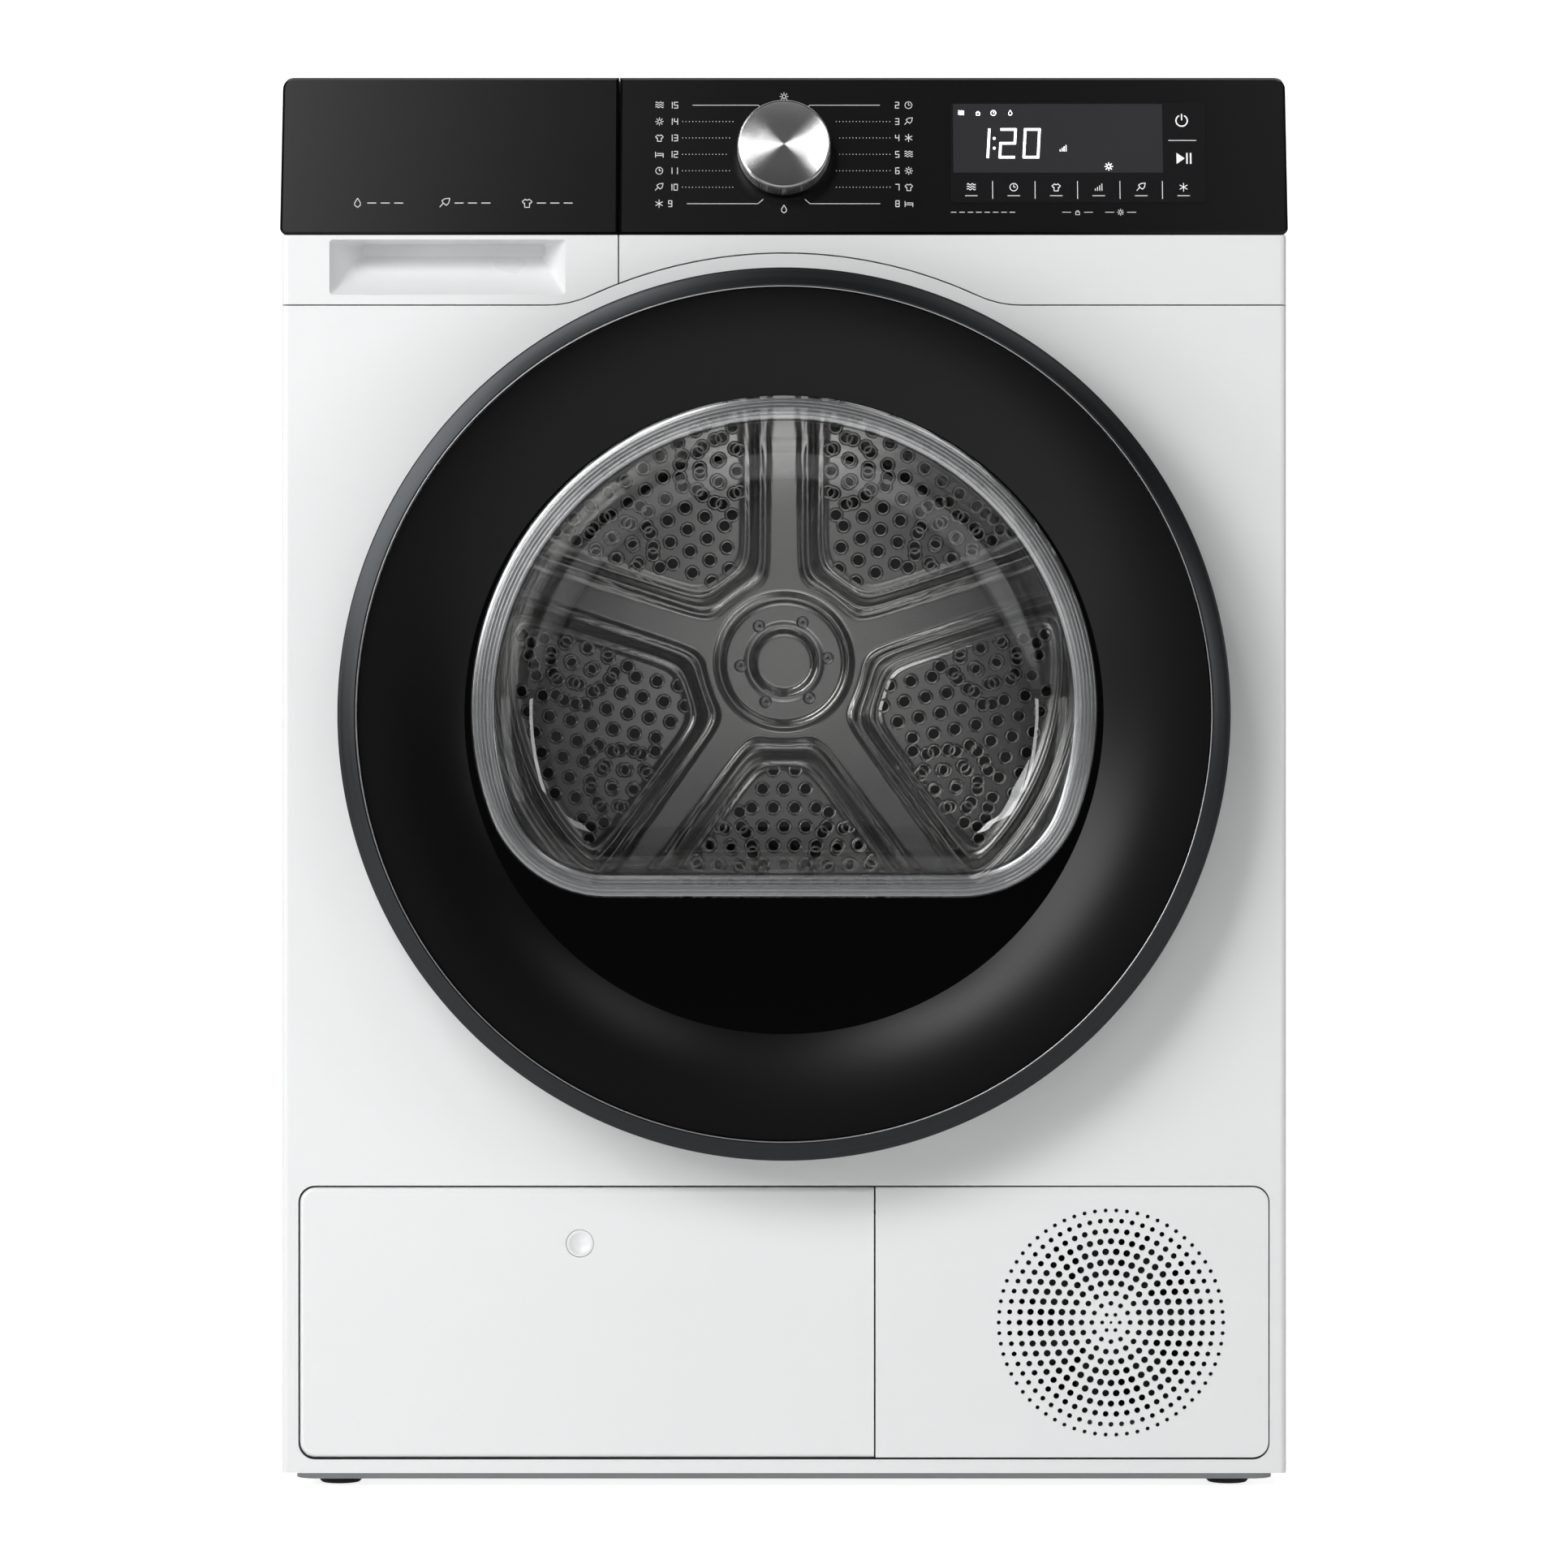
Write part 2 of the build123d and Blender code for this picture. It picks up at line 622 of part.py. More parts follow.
WINDOW_WALL = 4.0
with BuildPart() as door_window:
    # flange, tapering wall and flat back of a clear bowl
    with BuildSketch(facing_front(DISH_FLOOR_Y)):
        with BuildLine():
            window_outline(0.2)
        make_face()
    with BuildSketch(facing_front(WINDOW_BACK_Y)):
        with BuildLine():
            window_outline(26)
        make_face()
    loft()
    fillet(door_window.faces().sort_by(Axis.Y)[-1].edges(), 12)
    with BuildSketch(facing_front(DISH_FLOOR_Y - 1)):
        with BuildLine():
            window_outline(WINDOW_WALL)
        make_face()
    with BuildSketch(facing_front(WINDOW_BACK_Y - WINDOW_WALL)):
        with BuildLine():
            window_outline(26 + WINDOW_WALL)
        make_face()
    loft(mode=Mode.SUBTRACT)
pull_in("door_window", door_window)

with BuildPart() as door_inner_frame:
    with BuildSketch(facing_front(FRAME_PLATE_Y)):
        with Locations((0, DOOR_Z)):
            Circle(DOOR_R - 8.3)
        with BuildLine():
            window_outline(-2)
        make_face(mode=Mode.SUBTRACT)
    extrude(amount=-(FRAME_BACK_Y - FRAME_PLATE_Y))
    # wall round the window bowl, up to the trim
    with BuildSketch(facing_front(FRAME_PLATE_Y)):
        with BuildLine():
            window_outline(-4.5)
        make_face()
        with BuildLine():
            window_outline(-2)
        make_face(mode=Mode.SUBTRACT)
    extrude(amount=FRAME_PLATE_Y - DISH_FLOOR_Y - DISH_SHEET - GAP)
    cut_arm_slots()
pull_in("door_inner_frame", door_inner_frame)

with BuildPart() as door_gasket:
    with BuildSketch(facing_front(FRAME_BACK_Y)):
        with BuildLine():
            window_outline(-20)
        make_face()
        with BuildLine():
            window_outline(-9)
        make_face(mode=Mode.SUBTRACT)
    extrude(amount=-6.0)
    fillet(door_gasket.faces().sort_by(Axis.Y)[-1].edges(), 2)
pull_in("door_gasket", door_gasket)

with BuildPart() as door_hinge_leaf:
    with BuildSketch(Plane.XY.offset(HINGE_ARM_Z[0] + 6)):
        with Locations((HINGE_X, HINGE_Y)):
            Circle(5.5)
        with Locations((HINGE_X - 3, (HINGE_Y + FRAME_PLATE_Y) / 2)):
            Rectangle(8, FRAME_PLATE_Y - HINGE_Y)
    extrude(amount=HINGE_ARM_Z[1] - HINGE_ARM_Z[0] - 12)
    with BuildSketch(Plane.XY.offset(HINGE_ARM_Z[0] - 6)):
        with Locations((HINGE_X, HINGE_Y)):
            Circle(HINGE_PIN_R)
    extrude(amount=HINGE_ARM_Z[1] - HINGE_ARM_Z[0] + 12)
pull_in("door_hinge_leaf", door_hinge_leaf)

with BuildPart() as door_strike:
    with BuildSketch(Plane.XY.offset(DOOR_Z - 8)):
        with BuildLine():
            Polyline(
                (LATCH_X - 3, FRAME_BACK_Y),
                (LATCH_X + 3, FRAME_BACK_Y),
                (LATCH_X + 3, -258),
                (LATCH_X + 5, -256),
                (LATCH_X + 1, -252),
                (LATCH_X - 3, -256),
                close=True,
            )
        make_face()
    extrude(amount=16)
pull_in("door_strike", door_strike)

with BuildPart() as hinge_bracket:
    with BuildSketch(facing_front(-273.6)):
        with Locations((238, DOOR_Z)):
            Rectangle(30, 160)
    extrude(amount=-3)
    for arm_z in HINGE_ARM_Z:
        with BuildSketch(Plane.XY.offset(arm_z - 3)):
            with Locations((HINGE_X, HINGE_Y)):
                Circle(5.5)
            with Locations((HINGE_X, (HINGE_Y - 272) / 2)):
                Rectangle(10, -272 - HINGE_Y)
        extrude(amount=6)
    with BuildSketch(Plane.XY.offset(HINGE_ARM_Z[0] - 10)):
        with Locations((HINGE_X, HINGE_Y)):
            Circle(HINGE_PIN_R + FIT_GAP)
    extrude(amount=160, mode=Mode.SUBTRACT)
pull_in("hinge_bracket", hinge_bracket)

with BuildPart() as door_latch:
    with BuildSketch(facing_front(-273.6)):
        with Locations((LATCH_X, DOOR_Z)):
            Rectangle(28, 44)
    extrude(amount=-28)
    with BuildSketch(facing_front(-273.6)):
        with Locations((LATCH_X, DOOR_Z)):
            Rectangle(18, 26)
    extrude(amount=-24, mode=Mode.SUBTRACT)
pull_in("door_latch", door_latch)

# ---------------------------------------------------------------- front bulkhead and lint filter
BULK_Y = -236.0
BULK_SHEET = 4.0
NECK_FRONT_Y = -271.5
NECK_BACK_Y = -209.0
BULK_RING_R = 262.0
DUCT_MIDDLE_Y = -220.5
DUCT_LOW_Z = 206.0
DUCT_TOP_Z = 338.0
ROLLER_FROM_AXIS = DRUM_R + RUN_GAP + ROLLER_R
ROLLER_X = ROLLER_FROM_AXIS * sin(radians(ROLLER_ANGLE))
ROLLER_Z = DRUM_Z - ROLLER_FROM_AXIS * cos(radians(ROLLER_ANGLE))
ROLLER_FRONT_Y = -200.0
ROLLER_WIDTH = 18.0
AXLE_R = 4.0

with BuildPart() as front_bulkhead:
    with BuildSketch(facing_front(BULK_Y + BULK_SHEET)):
        with Locations((0, DRUM_Z)):
            Circle(268)
        with Locations((0, 382)):
            Rectangle(580, 352)
    extrude(amount=BULK_SHEET)
    # ring that enters the drum's front lip
    with BuildSketch(facing_front(BULK_Y + BULK_SHEET)):
        with Locations((0, DRUM_Z)):
            Circle(BULK_RING_R)
            Circle(BULK_RING_R - 4, mode=Mode.SUBTRACT)
    extrude(amount=-32)
    # neck round the window bowl
    with BuildSketch(facing_front(NECK_FRONT_Y)):
        with BuildLine():
            window_outline(-16)
        make_face()
    extrude(amount=NECK_FRONT_Y - NECK_BACK_Y)
    # lint duct below the neck
    with BuildSketch(Plane.XY.offset(DUCT_LOW_Z)):
        with Locations((0, DUCT_MIDDLE_Y)):
            Rectangle(206, 23)
    extrude(amount=DUCT_TOP_Z - DUCT_LOW_Z)
    with BuildSketch(facing_front(NECK_FRONT_Y - 1)):
        with BuildLine():
            window_outline(-12.5)
        make_face()
    extrude(amount=NECK_FRONT_Y - NECK_BACK_Y - 2, mode=Mode.SUBTRACT)
    with BuildSketch(Plane.XY.offset(DUCT_LOW_Z - 1)):
        with Locations((0, DUCT_MIDDLE_Y)):
            Rectangle(200, 17)
    extrude(amount=DUCT_TOP_Z - DUCT_LOW_Z + 12, mode=Mode.SUBTRACT)
    # sockets for the roller axles
    with BuildSketch(facing_front(BULK_Y - 1)):
        with Locations((-ROLLER_X, ROLLER_Z), (ROLLER_X, ROLLER_Z)):
            Circle(AXLE_R)
    extrude(amount=-10, mode=Mode.SUBTRACT)
pull_in("front_bulkhead", front_bulkhead)

with BuildPart() as roller_axles:
    with BuildSketch(facing_front(BULK_Y)):
        with Locations((-ROLLER_X, ROLLER_Z), (ROLLER_X, ROLLER_Z)):
            Circle(AXLE_R)
    extrude(amount=-60)
    with BuildSketch(facing_front(-181.5)):
        with Locations((-ROLLER_X, ROLLER_Z), (ROLLER_X, ROLLER_Z)):
            Circle(7)
    extrude(amount=-2)
pull_in("roller_axles", roller_axles)

for roller_name, roller_x in (("support_roller_left", -ROLLER_X), ("support_roller_right", ROLLER_X)):
    with BuildPart() as support_roller:
        with BuildSketch(facing_front(ROLLER_FRONT_Y)):
            with Locations((roller_x, ROLLER_Z)):
                Circle(ROLLER_R)
                Circle(AXLE_R + FIT_GAP, mode=Mode.SUBTRACT)
        extrude(amount=-ROLLER_WIDTH)
        for cut_y in (ROLLER_FRONT_Y, ROLLER_FRONT_Y + ROLLER_WIDTH - 3):
            with BuildSketch(facing_front(cut_y)):
                with Locations((roller_x, ROLLER_Z)):
                    Circle(16)
                    Circle(8, mode=Mode.SUBTRACT)
            extrude(amount=-3, mode=Mode.SUBTRACT)
    pull_in(roller_name, support_roller)

FILTER_TOP = 345.0
with BuildPart() as lint_filter:
    with BuildSketch(Plane.XY.offset(214)):
        with Locations((0, DUCT_MIDDLE_Y)):
            Rectangle(198, 15)
    extrude(amount=FILTER_TOP - 214)
    with BuildSketch(Plane.XY.offset(216)):
        with Locations((0, DUCT_MIDDLE_Y)):
            Rectangle(190, 11)
    extrude(amount=FILTER_TOP - 214, mode=Mode.SUBTRACT)
    # grip bar across the mouth
    with BuildSketch(Plane.XY.offset(FILTER_TOP - 3)):
        with Locations((0, DUCT_MIDDLE_Y)):
            Rectangle(34, 15)
    extrude(amount=6)
pull_in("lint_filter", lint_filter)

# ---------------------------------------------------------------- drum
with BuildPart() as drum_shell:
    with BuildSketch(Plane.XY.offset(DRUM_Z)):
        with BuildLine():
            Polyline(
                (BULK_RING_R + 4.5, DRUM_FRONT_Y),
                (DRUM_R, DRUM_FRONT_Y),
                (DRUM_R, DRUM_BACK_Y),
                (DRUM_R - DRUM_SHEET, DRUM_BACK_Y),
                (DRUM_R - DRUM_SHEET, DRUM_FRONT_Y + DRUM_SHEET),
                (BULK_RING_R + 4.5, DRUM_FRONT_Y + DRUM_SHEET),
                close=True,
            )
        make_face()
    revolve(axis=DRUM_AXIS)
pull_in("drum_shell", drum_shell)

with BuildPart() as drum_back:
    with BuildSketch(facing_front(DRUM_BACK_Y)):
        with Locations((0, DRUM_Z)):
            Circle(DRUM_R)
    extrude(amount=-DRUM_SHEET)
    # pressed star of five spokes and a round hub
    with BuildSketch(facing_front(DRUM_BACK_Y)):
        with Locations((0, DRUM_Z)):
            Circle(52)
            with PolarLocations(125, 5, start_angle=90):
                Rectangle(200, 30)
    extrude(amount=4)
    with BuildSketch(facing_front(DRUM_BACK_Y + DRUM_SHEET)):
        with Locations((0, DRUM_Z)):
            Circle(SHAFT_R)
    extrude(amount=-26)
pull_in("drum_back", drum_back)

LIFTER_FRONT_Y = -185.0
LIFTER_LENGTH = 400.0
LIFTER_WALL = 3.0
with BuildPart() as drum_lifters:
    with BuildSketch(facing_front(LIFTER_FRONT_Y)):
        with Locations((0, DRUM_Z)):
            with PolarLocations(DRUM_R - DRUM_SHEET - 26, 3, start_angle=30):
                Trapezoid(60, 44, 78, rotation=90)
    extrude(amount=-LIFTER_LENGTH)
    fillet(drum_lifters.edges().filter_by(Axis.Y), 4)
    # hollow inside, open towards the drum's skin
    with BuildSketch(facing_front(LIFTER_FRONT_Y + LIFTER_WALL)):
        with Locations((0, DRUM_Z)):
            with PolarLocations(DRUM_R - DRUM_SHEET - 26 + LIFTER_WALL, 3, start_angle=30):
                Trapezoid(60 - 2 * LIFTER_WALL, 44, 78, rotation=90)
    extrude(amount=-(LIFTER_LENGTH - 2 * LIFTER_WALL), mode=Mode.SUBTRACT)
    # their feet follow the skin
    with BuildSketch(facing_front(LIFTER_FRONT_Y)):
        with Locations((0, DRUM_Z)):
            Circle(DRUM_R + 100)
            Circle(DRUM_R - DRUM_SHEET, mode=Mode.SUBTRACT)
    extrude(amount=-LIFTER_LENGTH, mode=Mode.SUBTRACT)
pull_in("drum_lifters", drum_lifters)

with BuildPart() as drum_seals:
    with BuildSketch(facing_front(-208.5)):
        with Locations((0, DRUM_Z)):
            Circle(BULK_RING_R + 4.1)
            Circle(BULK_RING_R, mode=Mode.SUBTRACT)
    extrude(amount=-8.5)
    with BuildSketch(facing_front(DRUM_BACK_Y + DRUM_SHEET + RUN_GAP)):
        with Locations((0, DRUM_Z)):
            Circle(268)
            Circle(258, mode=Mode.SUBTRACT)
    extrude(amount=-(REAR_PANEL_Y - DRUM_BACK_Y - DRUM_SHEET - RUN_GAP))
pull_in("drum_seals", drum_seals)

with BuildPart() as rear_bearing:
    with BuildSketch(facing_front(275)):
        with Locations((0, DRUM_Z)):
            Circle(26)
    extrude(amount=-(REAR_PANEL_Y - 275))
    with BuildSketch(facing_front(REAR_PANEL_Y)):
        with Locations((0, DRUM_Z)):
            Circle(60)
    extrude(amount=3)
    with BuildSketch(facing_front(270)):
        with Locations((0, DRUM_Z)):
            Circle(SHAFT_R + FIT_GAP)
    extrude(amount=-(297 - 270), mode=Mode.SUBTRACT)
pull_in("rear_bearing", rear_bearing)

# ---------------------------------------------------------------- motor, belt and idler
with BuildPart() as motor_housing:
    with BuildSketch(facing_front(50)):
        with Locations((MOTOR_X, MOTOR_Z)):
            Circle(MOTOR_R)
    extrude(amount=-MOTOR_LENGTH)
    fillet(motor_housing.faces().filter_by(Axis.Y).edges(), 6)
    # two saddles that stand on the base
    with BuildSketch(Plane.XY.offset(BASE_FLOOR)):
        with Locations((MOTOR_X, 70), (MOTOR_X, 150)):
            Rectangle(90, 12)
    extrude(amount=55)
    # hollow round the core, with cooling slots in both end bells
    with BuildSketch(facing_front(50 + 6)):
        with Locations((MOTOR_X, MOTOR_Z)):
            Circle(MOTOR_R - 4)
            Circle(18, mode=Mode.SUBTRACT)
    extrude(amount=-(MOTOR_LENGTH - 12), mode=Mode.SUBTRACT)
    with BuildSketch(facing_front(49)):
        with Locations((MOTOR_X, MOTOR_Z)):
            with PolarLocations(33, 8):
                SlotOverall(24, 9)
    extrude(amount=-(MOTOR_LENGTH + 2), mode=Mode.SUBTRACT)
    with BuildSketch(facing_front(40)):
        with Locations((MOTOR_X, MOTOR_Z)):
            Circle(6 + FIT_GAP)
    extrude(amount=-140, mode=Mode.SUBTRACT)
pull_in("motor_housing", motor_housing)

FAN_SCROLL_Y = 190.0
with BuildPart() as motor_pulley:
    with BuildSketch(facing_front(4)):
        with Locations((MOTOR_X, MOTOR_Z)):
            Circle(6)
    extrude(amount=-236)
    with BuildSketch(facing_front(BELT_Y - 4)):
        with Locations((MOTOR_X, MOTOR_Z)):
            Circle(13)
    extrude(amount=-3.5)
    with BuildSketch(facing_front(BELT_Y - 0.5)):
        with Locations((MOTOR_X, MOTOR_Z)):
            Circle(PULLEY_R)
    extrude(amount=-(BELT_WIDTH + 1))
    with BuildSketch(facing_front(BELT_Y + BELT_WIDTH + 0.5)):
        with Locations((MOTOR_X, MOTOR_Z)):
            Circle(13)
    extrude(amount=-3.5)
pull_in("motor_pulley", motor_pulley)

with BuildPart() as process_fan:
    with BuildSketch(facing_front(FAN_SCROLL_Y + 8)):
        with Locations((MOTOR_X, MOTOR_Z)):
            Circle(74)
            Circle(6, mode=Mode.SUBTRACT)
    extrude(amount=-3)
    with BuildSketch(facing_front(FAN_SCROLL_Y + 11)):
        with Locations((MOTOR_X, MOTOR_Z)):
            with PolarLocations(62, 24):
                Rectangle(22, 2, rotation=35)
            Circle(14)
            Circle(6, mode=Mode.SUBTRACT)
    extrude(amount=-28)
pull_in("process_fan", process_fan)

with BuildPart() as fan_scroll:
    with BuildSketch(facing_front(FAN_SCROLL_Y)):
        with Locations((MOTOR_X, MOTOR_Z)):
            Circle(92)
        with Locations((MOTOR_X, MOTOR_Z - 50)):
            Rectangle(150, 100)
    extrude(amount=-102)
    with BuildSketch(facing_front(FAN_SCROLL_Y + 3)):
        with Locations((MOTOR_X, MOTOR_Z)):
            Circle(82)
    extrude(amount=-60, mode=Mode.SUBTRACT)
    with BuildSketch(facing_front(FAN_SCROLL_Y - 1)):
        with Locations((MOTOR_X, MOTOR_Z)):
            Circle(48)
    extrude(amount=-120, mode=Mode.SUBTRACT)
    with BuildSketch(Plane.XY.offset(-200)):
        with Locations((MOTOR_X, 250)):
            Rectangle(300, 200)
    extrude(amount=200 + BASE_BOTTOM + BASE_WALL, mode=Mode.SUBTRACT)
pull_in("fan_scroll", fan_scroll)

with BuildPart() as belt:
    with BuildSketch(facing_front(BELT_Y)):
        with BuildSketch(mode=Mode.PRIVATE) as loop:
            with Locations((0, DRUM_Z)):
                Circle(DRUM_R + RUN_GAP)
            with Locations((MOTOR_X, MOTOR_Z)):
                Circle(PULLEY_R + RUN_GAP)
            make_hull()
        add(offset(loop.sketch, amount=BELT_THICK, mode=Mode.PRIVATE))
        add(loop.sketch, mode=Mode.SUBTRACT)
    extrude(amount=-BELT_WIDTH)
pull_in("belt", belt)

# the idler presses on the outside of the belt's left span, close to the motor pulley
SPAN_LENGTH = hypot(MOTOR_X, DRUM_Z - MOTOR_Z)
SPAN_ANGLE = atan2(DRUM_Z - MOTOR_Z, -MOTOR_X) + asin((DRUM_R - PULLEY_R) / SPAN_LENGTH)
IDLER_ALONG = 80.0
IDLER_OUT = PULLEY_R + 2 * RUN_GAP + BELT_THICK + IDLER_R
IDLER_X = MOTOR_X + IDLER_ALONG * cos(SPAN_ANGLE) - IDLER_OUT * sin(SPAN_ANGLE)
IDLER_Z = MOTOR_Z + IDLER_ALONG * sin(SPAN_ANGLE) + IDLER_OUT * cos(SPAN_ANGLE)

with BuildPart() as idler_pulley:
    with BuildSketch(facing_front(BELT_Y)):
        with Locations((IDLER_X, IDLER_Z)):
            Circle(IDLER_R)
            Circle(ARM_PIN_R + FIT_GAP, mode=Mode.SUBTRACT)
    extrude(amount=-BELT_WIDTH)
pull_in("idler_pulley", idler_pulley)

with BuildPart() as idler_arm:
    with BuildSketch(facing_front(BELT_Y + BELT_WIDTH + 1)):
        with Locations((IDLER_X, IDLER_Z), (ARM_PIVOT_X, ARM_PIVOT_Z)):
            Circle(10)
        make_hull()
    extrude(amount=-4)
    with BuildSketch(facing_front(BELT_Y - 2)):
        with Locations((IDLER_X, IDLER_Z)):
            Circle(ARM_PIN_R)
    extrude(amount=-(BELT_WIDTH + 5))
    with BuildSketch(facing_front(BELT_Y - 2)):
        with Locations((ARM_PIVOT_X, ARM_PIVOT_Z)):
            Circle(ARM_PIN_R + FIT_GAP)
    extrude(amount=-40, mode=Mode.SUBTRACT)
pull_in("idler_arm", idler_arm)

# ---------------------------------------------------------------- heat pump
with BuildPart() as compressor:
    with BuildSketch(Plane.XY.offset(BASE_FLOOR + 14)):
        with Locations((COMP_X, COMP_Y)):
            Circle(COMP_R)
    extrude(amount=COMP_HEIGHT)
    fillet(compressor.faces().filter_by(Axis.Z).edges(), 22)
    # foot plate on three bosses of the base
    with BuildSketch(Plane.XY.offset(BASE_FLOOR + 12)):
        with Locations((COMP_X, COMP_Y)):
            with PolarLocations(COMP_MOUNT_R, 3, start_angle=90):
                Circle(14)
            make_hull()
    extrude(amount=3)
pull_in("compressor", compressor)

COIL_X = -165.0
COIL_WIDTH = 210.0
COIL_LOW = 12.0
COIL_HEIGHT = 170.0
FIN_PITCH = 10.0
FIN_GAP = 7.4
for coil_name, coil_y, coil_depth in (("evaporator", -165.0, 75.0), ("condenser", -50.0, 105.0)):
    with BuildPart() as fin_block:
        with BuildSketch(Plane.XY.offset(COIL_LOW)):
            with Locations((COIL_X, coil_y)):
                Rectangle(COIL_WIDTH, coil_depth)
        extrude(amount=COIL_HEIGHT)
        # air gaps between the fins, open at the front and the back
        with BuildSketch(Plane.XY.offset(COIL_LOW + 6)):
            with Locations((COIL_X, coil_y)):
                with GridLocations(FIN_PITCH, 1, 20, 1):
                    Rectangle(FIN_GAP, coil_depth + 2)
        extrude(amount=COIL_HEIGHT - 12, mode=Mode.SUBTRACT)
    pull_in(coil_name, fin_block)

PIPE_R = 4.0
with BuildPart() as refrigerant_pipes:
    for start_z, start_y, end_y in ((110.0, -142.0, -165.0), (150.0, -118.0, -90.0)):
        with BuildLine() as route:
            FilletPolyline(
                (COMP_X - COMP_R - 0.5, start_y, start_z),
                (100, start_y, start_z),
                (100, end_y, start_z),
                (70, end_y, start_z + 25),
                (COIL_X + COIL_WIDTH / 2 + 0.5, end_y, start_z + 25),
                radius=9,
            )
        with BuildSketch(Plane(origin=route.line @ 0, z_dir=route.line % 0)):
            Circle(PIPE_R)
        sweep()
pull_in("refrigerant_pipes", refrigerant_pipes)

with BuildPart() as condensate_pump:
    with BuildSketch(Plane.XY.offset(BASE_FLOOR)):
        with Locations((-215, 215)):
            RectangleRounded(90, 70, 8)
    extrude(amount=55)
    with BuildSketch(Plane.XY.offset(BASE_FLOOR + 55)):
        with Locations((-215, 215)):
            Circle(24)
    extrude(amount=45)
    fillet(condensate_pump.faces().sort_by(Axis.Z)[-1].edges(), 5)
pull_in("condensate_pump", condensate_pump)

# ---------------------------------------------------------------- cooling fan, grille and flap
FAN_Y = -252.0
with BuildPart() as fan_shroud:
    with BuildSketch(facing_front(FAN_Y)):
        with Locations((FAN_X, FAN_Z)):
            RectangleRounded(132, 132, 8)
            Circle(61, mode=Mode.SUBTRACT)
    extrude(amount=-24)
    # motor cup on four arms
    with BuildSketch(facing_front(FAN_Y + 20)):
        with Locations((FAN_X, FAN_Z)):
            Circle(22)
            Rectangle(124, 8, rotation=45)
            Rectangle(124, 8, rotation=-45)
    extrude(amount=-4)
    with BuildSketch(facing_front(FAN_Y + 6)):
        with Locations((FAN_X, FAN_Z)):
            Circle(3)
    extrude(amount=-16)
pull_in("fan_shroud", fan_shroud)

with BuildPart() as cooling_fan:
    with BuildSketch(facing_front(FAN_Y + 2)):
        with Locations((FAN_X, FAN_Z)):
            Circle(20)
    extrude(amount=-15)
    with BuildSketch(facing_front(FAN_Y + 4)):
        with Locations((FAN_X, FAN_Z)):
            with PolarLocations(38, 7):
                Rectangle(42, 20)
    extrude(amount=-2.5)
    with BuildSketch(facing_front(FAN_Y + 4)):
        with Locations((FAN_X, FAN_Z)):
            Circle(3 + FIT_GAP)
    extrude(amount=-16, mode=Mode.SUBTRACT)
pull_in("cooling_fan", cooling_fan)

KICK_SHEET = 2.5
KICK_RIM = 10.0


def kick_plate(x_low, x_high, corner_side):
    """Plate with a rim behind it and rounded outer corners, filling part of the lower opening."""
    low_z = KICK_LOW_Z + 1.2
    high_z = KICK_HIGH_Z - 0.9
    with BuildSketch(facing_front(FRONT_Y)) as outline:
        with Locations(((x_low + x_high) / 2, (low_z + high_z) / 2)):
            Rectangle(x_high - x_low, high_z - low_z)
        outer = outline.vertices().group_by(Axis.X)[-1 if corner_side > 0 else 0]
        fillet(outer, KICK_CORNER_R - 0.6)
    extrude(outline.sketch, amount=-KICK_RIM)
    with BuildSketch(facing_front(FRONT_Y + KICK_SHEET)) as hollow:
        add(outline.sketch.moved(Location((0, KICK_SHEET, 0))))
        offset(amount=-KICK_SHEET)
    extrude(hollow.sketch, amount=-KICK_RIM, mode=Mode.SUBTRACT)


with BuildPart() as grille_panel:
    kick_plate(KICK_SPLIT_X + 0.5, KICK_HALF_X - 0.6, 1)
    fillet(grille_panel.faces().sort_by(Axis.Y)[0].edges(), 0.6)
    # rings of holes: small in the middle, widest half way out, small again at the rim
    RING_COUNT = 11
    RING_STEP = 6.15
    with BuildSketch(facing_front(FRONT_Y)):
        with Locations((FAN_X, FAN_Z)):
            Circle(0.9)
            for ring in range(1, RING_COUNT + 1):
                swell = sin(radians(180 * (ring + 0.5) / (RING_COUNT + 2)))
                with PolarLocations(ring * RING_STEP - 0.9, 6 * ring):
                    Circle(0.75 + 1.35 * swell)
    extrude(amount=-KICK_SHEET, mode=Mode.SUBTRACT)
pull_in("grille_panel", grille_panel)

LATCH_BUTTON_X = -121.5
LATCH_BUTTON_Z = 146.6
LATCH_BUTTON_R = 8.0
FLAP_ROUND_R = 3.0
with BuildPart() as service_flap:
    kick_plate(-KICK_HALF_X + 0.6, KICK_SPLIT_X - 0.5, -1)
    # the lower front edge is rounded so that it clears the frame while the flap folds down
    lowest = service_flap.edges().filter_by(Axis.X).group_by(Axis.Z)[0].sort_by(Axis.Y)[0]
    fillet(lowest, FLAP_ROUND_R)
    with BuildSketch(facing_front(FRONT_Y)):
        with Locations((LATCH_BUTTON_X, LATCH_BUTTON_Z)):
            Circle(LATCH_BUTTON_R + RUN_GAP)
    extrude(amount=-KICK_SHEET, mode=Mode.SUBTRACT)
    # notches for the fixed ears, and hinge pins between small ribs on each side of them
    for ear_x in FLAP_EAR_X:
        with BuildSketch(Plane.YZ.offset(ear_x - 5.5)):
            with Locations((FLAP_PIN_Y + 2, FLAP_PIN_Z - 2.6)):
                Rectangle(10, 11.2)
        extrude(amount=11, mode=Mode.SUBTRACT)
        with BuildSketch(Plane.YZ.offset(ear_x - 11)):
            with Locations((FLAP_PIN_Y, FLAP_PIN_Z)):
                Circle(FLAP_PIN_R)
        extrude(amount=22)
        for rib_x in (ear_x - 12, ear_x + 10):
            with BuildSketch(Plane.YZ.offset(rib_x)):
                with Locations((FLAP_PIN_Y - 0.6, FLAP_PIN_Z)):
                    Rectangle(6.6, 7)
            extrude(amount=2)
pull_in("service_flap", service_flap)

